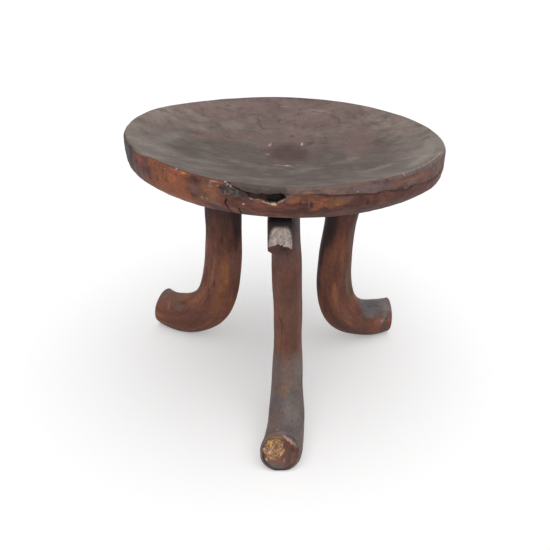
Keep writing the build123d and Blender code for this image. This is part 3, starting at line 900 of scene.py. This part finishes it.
def leg_grid(length, has_stub):
    """Angles round a leg and distances along it, both closer together where the stub is."""
    if not has_stub:
        angle = np.linspace(0, 2 * np.pi, leg_columns, False)
        return angle, np.append(np.arange(0, length, leg_row), length)
    left, right = stub_turns
    high, low = stub_along
    angle = np.radians(np.concatenate([
        np.linspace(left, right, stub_columns, False), np.linspace(right, left + 360, other_columns, False),
    ]))
    along = np.concatenate([
        np.arange(0, high, leg_row), np.arange(high, low, stub_row), np.arange(low, length, leg_row),
        [length],
    ])
    return angle, along


def sawn_end(leg, middle, way, edge, across, outward, seed):
    """Rings of the sawn end, the last ring drawn in evenly to its middle. Torn fibres stand out of it by
    about a millimetre, and the front toe has a second cut that slants off its upper right. Also the flat
    places of those rings, as seen on the cut."""
    share = np.linspace(1, 0, toe_rings + 2)[1:-1, None]
    flat = plane(share * across, share * outward)
    fibres = waves(flat, sawn_fibres, seed)
    if leg["bare_toe"]:
        past_cut = toe_cut_right * flat[..., 0] + toe_cut_up * flat[..., 1] - toe_cut_at
        fibres -= toe_cut_depth * np.maximum(past_cut, 0)
    rings = middle + (edge[None] - middle) * share[..., None]
    return rings + way * (fibres * step(0, 0.12, 1 - share))[..., None], flat


def tenon(angle, middle, way, out, edge, mean_reach):
    """Rings from the tip of the hidden tenon down it and out over its shoulder to the top of the leg."""
    shrink = np.linspace(1, tenon_radius / mean_reach, 4)[1:]
    shoulder = middle + (edge[None] - middle) * shrink[:, None, None]
    shoulder[-1] = middle + tenon_radius * (np.cos(angle)[:, None] * out + np.sin(angle)[:, None] * sideways)
    rise = np.array([0.5, tenon_length - tenon_bevel, tenon_length])
    pin = shoulder[-1][None] - way * rise[:, None, None]
    tip = middle - way * tenon_length
    pin[-1] = tip + (pin[-1] - tip) * tenon_tip_share
    return np.concatenate([pin[::-1], shoulder[::-1]])


# %% Work out a leg
leg_bumps = (
    (0.75, noise, (1, 1, 0.6), 26, 0), (0.35, noise, (1, 1, 0.3), 9, 1), (0.14, rough, (1, 1, 0.12), 3.2, 2),
)
check_depth = 0.55


def leg_skin(name, seed):
    """One leg: an oval of half depth and half width, square to the centre line, with low bumps, long flutes
    and drying checks in it, flattened at the floor. A power above 2 makes the oval boxier at the toe."""
    leg = grown_legs[name]
    stations = np.array(leg["stations"])
    knots = np.concatenate([[0], np.cumsum(np.linalg.norm(np.diff(stations[:, :3], axis=0), axis=1))])
    length = knots[-1]
    angle, along = leg_grid(length, name == "front")
    down = along[:, None]
    centre = through(knots, stations[:, :3], along)
    way = np.gradient(centre, along, axis=0)
    way /= np.linalg.norm(way, axis=1, keepdims=True)
    out = np.cross(way, sideways)
    out /= np.linalg.norm(out, axis=1, keepdims=True)
    half_depth, half_width = (spread(values, knots, along)[:, None] for values in stations[:, 3:].T)
    turn = np.repeat(angle[None], len(along), 0)
    shear = np.clip((down - knots[-2]) / (length - knots[-2]), 0, 1) ** 2
    power = 2 + leg["boxy"] * shear
    oval = np.abs(np.cos(turn) / half_depth) ** power + np.abs(np.sin(turn) / half_width) ** power
    oval = oval ** (-1 / power)
    straight = plane(oval * np.sin(turn), oval * np.cos(turn)) + down[..., None] * (0, 0, 1)
    check = spot(np.abs(noise(straight * (1, 1, 0.08), 7, seed + 3)), 0.05)
    check *= step(0.05, 0.35, noise(straight * (1, 1, 0.4), 30, seed + 4))
    reach = oval + waves(straight, leg_bumps, seed)
    pale = shaded = turn * 0
    if name == "front":
        height = centre[:, 2, None] + out[:, 2, None] * oval * np.cos(turn)
        box, pale, shaded = stub_reach(turn, centre[:, 0, None], centre[:, 1, None], height, oval)
        near_stub = within(height, stub_heights)
        check, pale, shaded = check * ~near_stub, pale * near_stub, shaded * near_stub
        reach = np.where(near_stub, soft_most(reach, box, stub_fillet), reach)
    to_toe = np.maximum(toe_round - (length - down), 0)
    reach = reach - check_depth * check - toe_round + np.sqrt(np.maximum(toe_round ** 2 - to_toe ** 2, 0))
    across, outward = reach * np.sin(turn), reach * np.cos(turn)
    slide = shear * (leg["end_tilt"] * outward + leg["end_turn"] * across)
    body = centre[:, None] + out[:, None] * outward[..., None] + sideways * across[..., None]
    body += way[:, None] * slide[..., None]
    top = tenon(angle, centre[0], way[0], out[0], body[0], reach[0].mean())
    cap, cap_flat = sawn_end(leg, centre[-1], way[-1], body[-1], across[-1], outward[-1], seed)
    rings = np.concatenate([top, body, cap])
    rings[..., 2] = np.maximum(rings[..., 2], 0)
    return leg_turned(leg, rings), leg_paint(leg, rings, turn, down, (pale, shaded, check), cap_flat, seed)


# %% [markdown]
# Where the wood is dark, grey or raw follows how the stool was used and how the light falls on it: the legs
# are darker under the seat and on their inner sides, which is painted shade with some grease, feet and knees
# turned grey, partly worn and partly a painted sheen on the faces that look up, and the sawn toes show raw
# end grain.

# %% Places on a leg and on its sawn end
gold_across, gold_up, gold_half_wide, gold_half_high = -6.7, 3.2, 10.8, 12.0
toe_lip_at, toe_rim = 13.2, 15.6


def near(down, turn, reach, places):
    """Strength of soft ovals at listed places: how far along, how many degrees round, half the length
    and half the width in millimetres, and the most."""
    total = turn * 0
    for at, degrees, half_long, half_wide, most in places:
        round_way = np.radians((np.degrees(turn) - degrees + 180) % 360 - 180)
        total = total + most * oval_spot(down - at, round_way * reach, half_long, half_wide)
    return total


def toe_marks(flat, seed):
    """Masks of the front toe's sawn end: the bare gold wood left of the middle, the light lip along its top
    and along the slanting cut at the upper right, the grey past that cut and low on the left, and the grime
    along the floor."""
    across, up = flat[..., 0], flat[..., 1]
    away = np.hypot((across - gold_across) / gold_half_wide, (up - gold_up) / gold_half_high)
    gold = 1 - step(0.7, 1.1, away + 0.22 * rough(flat, 6, seed))
    past_cut = toe_cut_right * across + toe_cut_up * up - toe_lip_at
    from_middle = np.hypot(across, up)
    ragged = 0.5 * rough(flat, 4, seed + 1)
    lip = spot(np.abs(past_cut + ragged), 1.7) * window(across, -1, 3, 14, 16)
    lip += 0.8 * spot(np.abs(from_middle - toe_rim + ragged), 1.5) * step(4, 9, up) * (1 - step(1, 5, across))
    low = step(-7.5, -12.5, up + 3.5 * rough(flat, 8, seed + 3)) * (1 - step(-1, 8, across + 3 * ragged))
    grime = 0.85 * step(14.0, 17.5, from_middle) * step(4, -6, up + 0.6 * across)
    return gold, lip, 0.2 + step(0.3, 1.8, past_cut) + low, grime


# %% Paint a leg and turn it to its bearing
def leg_turned(leg, rings):
    """A leg's rings turned to its bearing and moved to the seat's axis."""
    bearing = np.radians(leg["bearing"])
    way_out, aside = rings[..., 0], rings[..., 1]
    x = way_out * np.sin(bearing) + aside * np.cos(bearing) + seat_axis[0]
    y = aside * np.sin(bearing) - way_out * np.cos(bearing) + seat_axis[1]
    return np.stack([x, y, rings[..., 2]], -1)


def leg_paint(leg, rings, turn, down, masks, cap_flat, seed):
    """A leg's attributes. Each mask is worked out on the body between the hidden top and the sawn end, and is
    given with its value on the sawn end."""
    after, columns = cap_flat.shape[:2]
    before = len(rings) - len(down) - after
    body = slice(before, before + len(down))
    pale, shaded, check = masks
    points = rings[body]
    height = points[..., 2]
    radial = points - points.mean(1, keepdims=True)
    normal = normals_of(rings)[body]
    normal = normal * np.sign(np.sum(normal * radial))
    reach = np.linalg.norm(radial, axis=-1)
    straight = plane(reach * np.sin(turn), reach * np.cos(turn)) + down[..., None] * (0, 0, 1)
    place = (down, turn, reach)
    bark = plane(down, (turn - np.radians(leg["seam"])) % (2 * np.pi) * bark_radius)
    inner = (1 - np.cos(turn - np.radians(leg["shade_turn"]))) / 2
    patchy = noise(points, 26, seed + 10)
    small = noise(points, 9, seed + 11)
    streaky = noise(straight * (1, 1, 0.22), 8, seed + 14)
    # Grey on the faces that look up: partly worn wood on the feet, partly a painted sheen where the light
    # from above falls on them.
    upward = normal[..., 2] + 0.25 * patchy + 0.1 * small
    foot_top = step(leg["grey_from"] - 0.25, leg["grey_from"] + 1.0, upward)
    foot_top *= 1 - step(62, 110, height + 12 * patchy)
    foot_top = np.maximum(foot_top, 0.8 * (down > down[-1] - 3))
    # Painted shade: the leg darkens from shade_from up to the seat and on its inner side, where shade falls
    # under the seat, with some grease in it; the leg's stains add more painted shade on the inner sides, and
    # the lowest millimetres are darker.
    shade_height = height + 8 * patchy + 10 * streaky
    dark = leg["top_shade"] * step(leg["shade_from"] - 20, leg["shade_from"] + 105, shade_height)
    dark += leg["inner_shade"] * step(0.5, 0.9, inner + 0.2 * streaky) * step(35, 90, height)
    dark += near(*place, leg["stains_and_shade"]) + 0.95 * step(8.5, 1.5, height + 1.5 * small)
    warm = leg["warmth"] * step(0.0, 0.7, streaky + 0.25 * small) * (1 - np.clip(dark, 0, 1))
    grey = leg["foot_grey"] * foot_top + 0.15 * step(0.2, 0.8, small) + near(*place, leg["greys"])
    specks = near(*place, [(at, degrees, size, size, 0.8) for at, degrees, size in leg["specks"]])
    pits = near(*place, [(at, degrees, 1.4 * size, size, 1.0) for at, degrees, size in leg["pits"]])
    gold, lip, toe_grey, grime = toe_marks(cap_flat, seed + 13) if leg["bare_toe"] else (0.0, 0.0, 0.25, 0.3)
    ends = np.zeros((before, columns, 1))
    marked = np.concatenate([ends + bark[:1], bark, cap_flat + (cap_start, 0, 0)])
    tint, hidden = stained(marked, leg["marks"])
    straight = np.concatenate([ends + straight[:1], straight, cap_flat + (0, 0, down[-1, 0])])
    paint = {label: straight * stretches[-1] * MM for label, stretches in pattern_stretches.items()}
    paint |= {"tint": tint, "hidden": hidden}
    body_and_end = {
        "worn": (grey, toe_grey),
        "light": (0.5 + 0.4 * patchy, 0.4),
        "brown": (leg["foot_brown"] + 0.5 * streaky, 0.5),
        # The stub's shaded mask is painted shadow under the seat; it is laid in the near-black torn tone here
        # and in the dark coat below.
        "torn": (0.7 * check + 0.8 * pits + 0.85 * shaded, 0.0),
        "fresh": (turn * 0, gold),
        "pale": (pale + specks, 0.3 * np.clip(lip, 0, 1)),
        "warm": (warm + near(*place, leg["glows"]), 0.0 if leg["bare_toe"] else 0.2),
        "soot_and_shade": (dark + shaded, grime),
    }
    for label, (values, end_value) in body_and_end.items():
        full = [ends[..., 0] + values[:1], values, np.zeros((after, columns)) + end_value]
        paint[label] = np.clip(np.concatenate(full), 0, 1)
    return paint


legs = {}
for number, leg_name in enumerate(grown_legs):
    leg_rings, leg_attributes = leg_skin(leg_name, 50 + 20 * number)
    legs[leg_name] = skin("leg_" + leg_name + "_wood", leg_rings, leg_attributes)
    low, high = (np.array(corner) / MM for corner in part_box("leg_" + leg_name))
    print("  reaches", leg_rings.min((0, 1)).round(1), leg_rings.max((0, 1)).round(1))
    print("  frame  ", low.round(1), high.round(1))

# %% [markdown]
# ## Aged wood
#
# The wood is a dense reddish hardwood, cut green, blackened by smoke and hands, and greyed where it is
# sat on. To the eye that is three layers: a red-brown body with fibres along the grain, a matt grey bloom
# on what is worn, and dark grease in what is sheltered, laid also as painted shade under the seat and on
# the inner sides. Pale marks carry painted highlights and glints. One function lays coats of colour over
# a tone, each where a mask says so, and one adds a node.

# %% Node tools
def add(tree, kind, inputs=None, **settings):
    """Adds one node. Settings are its own properties. Inputs are its sockets, by name or number, and each
    is given a value, or another node's output to link to."""
    node = tree.nodes.new(kind)
    for key, value in settings.items():
        setattr(node, key, value)
    for key, value in (inputs or {}).items():
        if isinstance(value, bpy.types.NodeSocket):
            tree.links.new(value, node.inputs[key])
        else:
            node.inputs[key].default_value = value
    return node


def lay(tree, tone, *coats):
    """Lays coats of colour over a tone, one after another. A coat is its colour, its mask, the mask's values
    where it begins and where it is full, and the most it covers."""
    for over, mask, low, high, most in coats:
        cover = {"Value": mask, "From Min": low, "From Max": high, "To Max": most}
        share = add(tree, "ShaderNodeMapRange", cover, interpolation_type="SMOOTHSTEP").outputs[0]
        tone = add(tree, "ShaderNodeMix", {0: share, 6: tone, 7: over}, data_type="RGBA").outputs[2]
    return tone


def plus(tree, mask, pattern, weight):
    """A mask with its edge broken up: mask + weight * (pattern - 0.5)."""
    lowered = add(tree, "ShaderNodeMath", {0: mask, 1: -weight / 2}, operation="ADD").outputs[0]
    parts = {0: pattern, 1: weight, 2: lowered}
    return add(tree, "ShaderNodeMath", parts, operation="MULTIPLY_ADD").outputs[0]


def empty_tree(holder):
    """The node tree of a material or a world, with nothing in it yet."""
    holder.use_nodes = True
    holder.node_tree.nodes.clear()
    return holder.node_tree


# %% [markdown]
# Seven noise patterns make the wood: three run along the grain, and four are mottles of other sizes.
# The fibres are drawn about 1 mm apart, which is coarser than real ones, so that they show.

# %% Patterns and tones of the wood
# What each pattern follows, its size in mm, its detail, its roughness and its distortion
wood_patterns = {
    "fibre": ("fibres", 1.11, 4.0, 0.6, 0.0), "streak": ("fibres", 4.35, 5.0, 0.6, 0.0),
    "scratch": ("fibres", 2.63, 2.0, 0.6, 0.8), "broad": ("strokes", 17.86, 6.0, 0.6, 0.0),
    "mottle": ("mottles", 10.2, 7.0, 0.68, 0.0), "speck": ("mottles", 2.22, 3.0, 0.6, 0.0),
    "pit": ("mottles", 1.613, 1.0, 0.6, 0.0),
}
fibre_stretch = (1, 1, 0.09)
wood_masks = ("worn", "light", "brown", "band", "torn", "scar", "fresh", "pale", "warm", "soot_and_shade", "hidden")
band_tones = ("#5b4a49", "#776259", "#85706a")
scar_tones = ("#33322f", "#5b544e", "#4b3a3a")
# The torn tone is near-black: the torn wood's own dark colour, darkened further as painted shade in the
# hollow and above the stub.
torn_and_shade_tone = "#151716"
# The pale sawn tones colour the stub's sawn face and also the painted highlights and glints of the rim.
sawn_and_highlight_tones = ("#ab9b92", "#cec0b7", "#a69283", "#8f7d76")
bare_tones = ("#80593f", "#b8946f", "#6b4838", "#d6c09c")


def wood_tones(tree, body, worn, contrast, mask, pattern):
    """The wood's colour, from the red-brown body through bloom, band, grease and painted shade, and the pale
    marks with their painted highlights, to the bare places.
    """
    _, streak, scratch, broad, mottle, speck, pit = pattern.values()
    dark, light, purple, orange, grease_and_shade = map(colour, body)
    tone = lay(
        tree, dark,
        (light, broad, 0.5 - 0.12 / contrast, 0.5 + 0.12 / contrast, 1.0),
        (purple, mottle, 0.50, 0.64, 0.75 * contrast),
        (light, streak, 0.50, 0.70, 0.7 * contrast),
        (orange, plus(tree, mask["warm"], broad, 1.2), 0.15, 0.95, 0.5 + 0.5 * contrast),
        (dark, streak, 0.47, 0.32, 0.6 * contrast),
    )
    worn_dark, worn_light, worn_brown, olive, pale = map(colour, worn)
    bloom = lay(
        tree, worn_dark,
        (worn_light, plus(tree, mask["light"], mottle, 0.85), 0.0, 1.0, 1.0),
        (worn_brown, plus(tree, mask["brown"], broad, 1.6), 0.2, 1.0, 0.85),
        (olive, broad, 0.48, 0.36, 0.7),
        (worn_dark, mottle, 0.50, 0.68, 0.65),
        (pale, streak, 0.52, 0.74, 0.08),
        (grease_and_shade, plus(tree, mask["brown"], scratch, 4.0), 1.2, 1.9, 0.16),
    )
    under, over, streaks = map(colour, band_tones)
    band = lay(tree, under, (over, mottle, 0.42, 0.60, 1.0), (streaks, streak, 0.52, 0.72, 0.7))
    under, over, red = map(colour, scar_tones)
    scar = lay(tree, under, (over, speck, 0.38, 0.62, 1.0), (red, mottle, 0.46, 0.58, 0.8))
    under, over, brown, grey = map(colour, sawn_and_highlight_tones)
    sawn_and_highlight = lay(
        tree, under, (over, pit, 0.34, 0.66, 1.0), (brown, broad, 0.50, 0.40, 0.5),
        (grey, mottle, 0.54, 0.72, 0.4),
    )
    under, over, brown, gold = map(colour, bare_tones)
    bare = lay(
        tree, under, (over, speck, 0.36, 0.64, 1.0), (brown, pit, 0.52, 0.68, 0.5),
        (gold, mottle, 0.54, 0.70, 0.6),
    )
    return lay(
        tree, tone,
        (bloom, plus(tree, mask["worn"], broad, 0.45), 0.12, 0.92, 1.0),
        (band, plus(tree, mask["band"], speck, 0.8), 0.25, 0.8, 0.92),
        (grease_and_shade, plus(tree, mask["soot_and_shade"], mottle, 0.7), 0.1, 1.0, 0.92),
        (scar, mask["scar"], 0.1, 0.8, 1.0),
        (colour(torn_and_shade_tone), mask["torn"], 0.05, 0.9, 1.0),
        (sawn_and_highlight, mask["pale"], 0.1, 0.8, 1.0),
        (bare, mask["fresh"], 0.15, 0.8, 1.0),
        (grease_and_shade, pit, 0.69, 0.78, 0.6),
    )


# %% [markdown]
# The listed stains are on the mesh, one colour to a point, which is fine enough for a soft stain.
# The dish's smallest marks are a millimetre wide, finer than its mesh, so the material draws them, each
# as an ellipse round its own place; most of the light ones are painted glints.

# %% Fine marks and the finished wood
wobble_size, wobble_reach = 3.85, 1.9


def fine_marks(tree, tone, marks):
    """Draws small ellipses over a tone: a Mapping node moves, turns and shrinks the dish's place so that an
    ellipse is where its length is under about 1. Noise bends their edges by about a millimetre."""
    place = add(tree, "ShaderNodeAttribute", attribute_name="place").outputs["Vector"]
    wobble = {"Vector": place, "Scale": 1 / (wobble_size * MM), "Detail": 4.0}
    wobble = add(tree, "ShaderNodeTexNoise", wobble, normalize=False).outputs[1]
    ragged = {0: wobble, 1: (wobble_reach * MM, wobble_reach * MM, 0), 2: place}
    place = add(tree, "ShaderNodeVectorMath", ragged, operation="MULTIPLY_ADD").outputs[0]
    for x, y, turn, half_long, half_wide, code, most in marks:
        fit = {"Vector": place, "Location": (x * MM, y * MM, 0), "Rotation": (0, 0, np.radians(turn)),
               "Scale": (half_long * MM, half_wide * MM, 1)}
        ellipse = add(tree, "ShaderNodeMapping", fit, vector_type="TEXTURE").outputs[0]
        away = add(tree, "ShaderNodeVectorMath", {0: ellipse}, operation="LENGTH").outputs["Value"]
        tone = lay(tree, tone, (colour(code), away, 1.1, 0.4, most))
    return tone


def aged_wood(name, body, worn, contrast, fibre_height, marks=()):
    """Aged, hand-cut hardwood. Body: dark, light, purple and orange tones, and a greasy tone that is also
    laid
    as painted shade. Worn: dark, light, brown, olive and pale tones. Contrast scales how strongly streaks and
    mottles show on the body. The fibres' height is in millimetres. Marks are small ellipses on the dish, some
    of them painted glints."""
    material = bpy.data.materials.new(name)
    tree = empty_tree(material)
    follows = {}
    for key in pattern_stretches:
        follows[key] = add(tree, "ShaderNodeAttribute", attribute_name=key).outputs["Vector"]
    fibres = {"Vector": follows["grain"], "Scale": fibre_stretch}
    follows["fibres"] = add(tree, "ShaderNodeMapping", fibres).outputs[0]
    pattern = {}
    for key, (way, size, detail, roughness, distortion) in wood_patterns.items():
        inputs = {"Vector": follows[way], "Scale": 1 / (size * MM), "Detail": detail, "Roughness": roughness}
        inputs["Distortion"] = distortion
        pattern[key] = add(tree, "ShaderNodeTexNoise", inputs).outputs[0]
    mask = {key: add(tree, "ShaderNodeAttribute", attribute_name=key).outputs["Fac"] for key in wood_masks}
    tone = wood_tones(tree, body, worn, contrast, mask, pattern)
    tint = add(tree, "ShaderNodeAttribute", attribute_name="tint").outputs["Color"]
    shades = {0: pattern["speck"], 6: (0.6, 0.6, 0.6, 1), 7: (1.4, 1.4, 1.4, 1)}
    shades = add(tree, "ShaderNodeMix", shades, data_type="RGBA").outputs[2]
    for kind, share, over in (
        ("MIX", mask["hidden"], (0, 0, 0, 1)), ("ADD", 1.0, tint), ("MULTIPLY", 1.0, shades),
    ):
        parts = {0: share, 6: tone, 7: over}
        tone = add(tree, "ShaderNodeMix", parts, data_type="RGBA", blend_type=kind).outputs[2]
    if marks:
        tone = fine_marks(tree, tone, marks)
    gloss = {"Value": pattern["mottle"], "From Min": 0.3, "From Max": 0.7, "To Min": 0.52, "To Max": 0.70}
    gloss = add(tree, "ShaderNodeMapRange", gloss).outputs[0]
    heights = {0: pattern["fibre"], 1: 0.5, 2: pattern["streak"]}
    heights = add(tree, "ShaderNodeMath", heights, operation="MULTIPLY_ADD").outputs[0]
    relief = {"Height": heights, "Strength": 0.35, "Distance": fibre_height * MM}
    relief = add(tree, "ShaderNodeBump", relief).outputs[0]
    relief = {"Height": pattern["mottle"], "Strength": 0.25, "Distance": 1 * MM, "Normal": relief}
    relief = add(tree, "ShaderNodeBump", relief).outputs[0]
    finish = {"Base Color": tone, "Roughness": gloss, "Normal": relief}
    shader = add(tree, "ShaderNodeBsdfPrincipled", finish | {"IOR": 1.45, "Specular IOR Level": 0.25})
    add(tree, "ShaderNodeOutputMaterial", {"Surface": shader.outputs[0]})
    print("material", name, len(tree.nodes), "nodes")
    return material


# %% [markdown]
# Seat and legs are the same wood in two settings. The seat's top is polished flat and greyed by sitting,
# so its bloom is lighter and its fibres stand low. The legs keep more red, and their fibres stand higher.

# %% Finishes of seat and legs
# Fine marks on the dish: most light ones are painted glints on the dents, with the light ridge of a chip; the
# dark ones are cracks and scratches.
dish_marks_and_glints = (
    (-6, -36, 8, 5.5, 1.2, "#b5a098", 0.95), (3, -38.5, -10, 6, 1.2, "#c4b0a8", 0.95),
    (13, -36, 12, 5, 0.9, "#a08b83", 0.8), (8, -43, 40, 2.5, 0.8, "#9d8880", 0.7),
    (20, 38, 84, 6.5, 1.3, "#c8b6ae", 0.95), (-15, 33, 84, 6, 1.3, "#a5948c", 0.85),
    (-17, 2, 0, 4, 1.2, "#9b8881", 0.8), (-38, 50, 0, 1.5, 1.5, "#b3a49d", 0.9),
    (37, -31, 80, 3.5, 1.2, "#96837c", 0.6), (-29, 101, 95, 13, 1, "#3a302d", 0.8),
    (-26, 83, 110, 9, 1, "#3a302d", 0.8), (-33, 112, 20, 7, 0.8, "#463a36", 0.6),
    (-62, 42, -20, 8, 0.8, "#41352f", 0.7), (-45, 48.5, -5, 7, 0.7, "#463a35", 0.6),
    (-88, 36, 5, 12, 1, "#4d403a", 0.5), (2, 136, -15, 7, 1.2, "#9a8b84", 0.7),
    (44, 121, -20, 15, 1, "#40332e", 0.7), (-66, 127, 0, 3, 1.6, "#33292a", 0.7),
    (15, 92, 0, 3, 1.8, "#413530", 0.6), (47, 55, 0, 2.5, 1.8, "#413530", 0.6),
    (114, -86, 38, 11, 1.2, "#958b84", 0.6),
)
# The last body tone of each finish is grease, which is also laid as painted shade.
seat_finish = aged_wood(
    "aged_hardwood_sat_on", ("#4e2f28", "#7b4d3f", "#513a39", "#955a40", "#2a1f21"),
    ("#4d423d", "#9a8d84", "#6c5752", "#625a52", "#9a8e87"), 0.85, 0.3, dish_marks_and_glints,
)
leg_finish = aged_wood(
    "aged_hardwood_crook", ("#5f3a2f", "#875543", "#5b403e", "#9c6540", "#271d1f"),
    ("#5c5152", "#887e79", "#745a50", "#68625c", "#978c84"), 0.65, 0.6,
)
seat.data.materials.append(seat_finish)
for leg in legs.values():
    leg.data.materials.append(leg_finish)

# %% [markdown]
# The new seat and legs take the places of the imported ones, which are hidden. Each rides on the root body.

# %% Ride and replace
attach(seat, "root")
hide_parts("seat")
for leg_name, leg in legs.items():
    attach(leg, "root")
    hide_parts("leg_" + leg_name)

# %% [markdown]
# ## Wedges
#
# Three small wedges sit shut inside the joints. Nobody sees them in the whole stool, but they get the pale
# look of freshly split wood.

# %% Split wood
wedge_finish = bpy.data.materials.new("split_wedge_wood")
tree = empty_tree(wedge_finish)
place = add(tree, "ShaderNodeTexCoord").outputs["Object"]
fibres = add(tree, "ShaderNodeMapping", {"Vector": place, "Scale": (1, 1, 0.08)}).outputs[0]
split_size, split_height = 1.43, 0.5
lines = {"Vector": fibres, "Scale": 1 / (split_size * MM), "Detail": 5.0}
lines = add(tree, "ShaderNodeTexNoise", lines).outputs[0]
tone = lay(tree, colour("#a97f52"), (colour("#d7b888"), lines, 0.35, 0.65, 1.0))
relief = add(tree, "ShaderNodeBump", {"Height": lines, "Strength": 0.4, "Distance": split_height * MM})
finish = {"Base Color": tone, "Roughness": 0.7, "Normal": relief.outputs[0]}
shader = add(tree, "ShaderNodeBsdfPrincipled", finish)
add(tree, "ShaderNodeOutputMaterial", {"Surface": shader.outputs[0]})
for name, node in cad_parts.items():
    if name.startswith("wedge_"):
        node.data.materials.clear()
        node.data.materials.append(wedge_finish)

# %% [markdown]
# ## Floor, light and camera
#
# The photograph has a white ground that fades into a white wall, and one broad soft light from above.
# The floor is a plain pale sheet that keeps the shadow. What the camera sees of it directly, or through
# gloss or glass, is lifted to white by a glow that lights nothing else.

# %% Floor
floor_half = 9.0
floor_grey = 0.8
floor_glow = 0.30


def seen_directly(tree):
    """1 for what the camera sees, straight or by gloss or glass, and 0 for light on its way to a surface."""
    seen = add(tree, "ShaderNodeLightPath").outputs
    direct = seen["Is Camera Ray"]
    for kind in ("Is Glossy Ray", "Is Transmission Ray"):
        direct = add(tree, "ShaderNodeMath", {0: direct, 1: seen[kind]}, operation="MAXIMUM").outputs[0]
    return direct


floor_mesh = bpy.data.meshes.new("floor")
floor_corners = [(x * floor_half, y * floor_half, 0) for x, y in ((-1, -1), (1, -1), (1, 1), (-1, 1))]
floor_mesh.from_pydata(floor_corners, [], [(0, 1, 2, 3)])
floor = bpy.data.objects.new("floor", floor_mesh)
bpy.context.scene.collection.objects.link(floor)
pale_floor = bpy.data.materials.new("pale_floor")
tree = empty_tree(pale_floor)
lift = {0: seen_directly(tree), 1: floor_glow}
lift = add(tree, "ShaderNodeMath", lift, operation="MULTIPLY").outputs[0]
sheet = add(tree, "ShaderNodeBsdfDiffuse", {"Color": (floor_grey, floor_grey, floor_grey, 1)})
glow = add(tree, "ShaderNodeEmission", {"Color": (1, 1, 1, 1), "Strength": lift})
both = add(tree, "ShaderNodeAddShader", {0: sheet.outputs[0], 1: glow.outputs[0]})
add(tree, "ShaderNodeOutputMaterial", {"Surface": both.outputs[0]})
floor_mesh.materials.append(pale_floor)

# %% [markdown]
# The white room around gives a third of its full strength as light, and is white where it is seen. Two
# lamps add the shadow under the seat: a broad one above, a little to the front, and a weak one from the
# front. Area lamps would make the floor brighter near the stool, and sun lamps with a wide disc don't.

# %% Light
room_light = 0.34
world = bpy.data.worlds.new("white_room")
bpy.context.scene.world = world
tree = empty_tree(world)
strength = {"Value": seen_directly(tree), "To Min": room_light, "To Max": 1.0}
strength = add(tree, "ShaderNodeMapRange", strength).outputs[0]
back = add(tree, "ShaderNodeBackground", {"Color": (1, 1, 1, 1), "Strength": strength})
add(tree, "ShaderNodeOutputWorld", {"Surface": back.outputs[0]})


def far_softbox(name, towards, disc_degrees, strength):
    """A softbox so far off that it lights the whole floor alike: a sun lamp with a wide disc."""
    data = bpy.data.lights.new(name, "SUN")
    data.angle = np.radians(disc_degrees)
    data.energy = strength
    lamp = bpy.data.objects.new(name, data)
    lamp.rotation_mode = "QUATERNION"
    lamp.rotation_quaternion = (-Vector(towards)).to_track_quat("-Z", "Y")
    bpy.context.scene.collection.objects.link(lamp)
    return lamp


far_softbox("key_softbox", towards=(0.12, -0.22, 1.0), disc_degrees=70, strength=1.70)
far_softbox("front_fill", towards=(-0.10, -1.0, 0.50), disc_degrees=60, strength=0.50)

# %% [markdown]
# The camera was worked out from the photograph: the rim's ellipse, the thickness of the seat and the
# places of the three feet agree on a height of 456 mm, 640 mm before the seat's axis, looking 27.8
# degrees down, with a field that is 550 pixels wide at a focal length of 632 pixels.

# %% Camera
picture_width = 550
focal_length = 632
sensor_width = 36.0
camera_aside, camera_before, camera_height = -10.4, 640.0, 456.0
camera_looks_down = 27.8
camera_data = bpy.data.cameras.new("camera")
camera_data.sensor_fit = "HORIZONTAL"
camera_data.sensor_width = sensor_width
camera_data.lens = sensor_width * focal_length / picture_width
camera_data.clip_start = 0.01
camera = bpy.data.objects.new("camera", camera_data)
camera_place = (seat_axis[0] + camera_aside, seat_axis[1] - camera_before, camera_height)
camera.location = [length * MM for length in camera_place]
camera.rotation_euler = (np.radians(90 - camera_looks_down), 0, 0)
bpy.context.scene.collection.objects.link(camera)
bpy.context.scene.camera = camera
bpy.context.scene.view_settings.view_transform = "Standard"
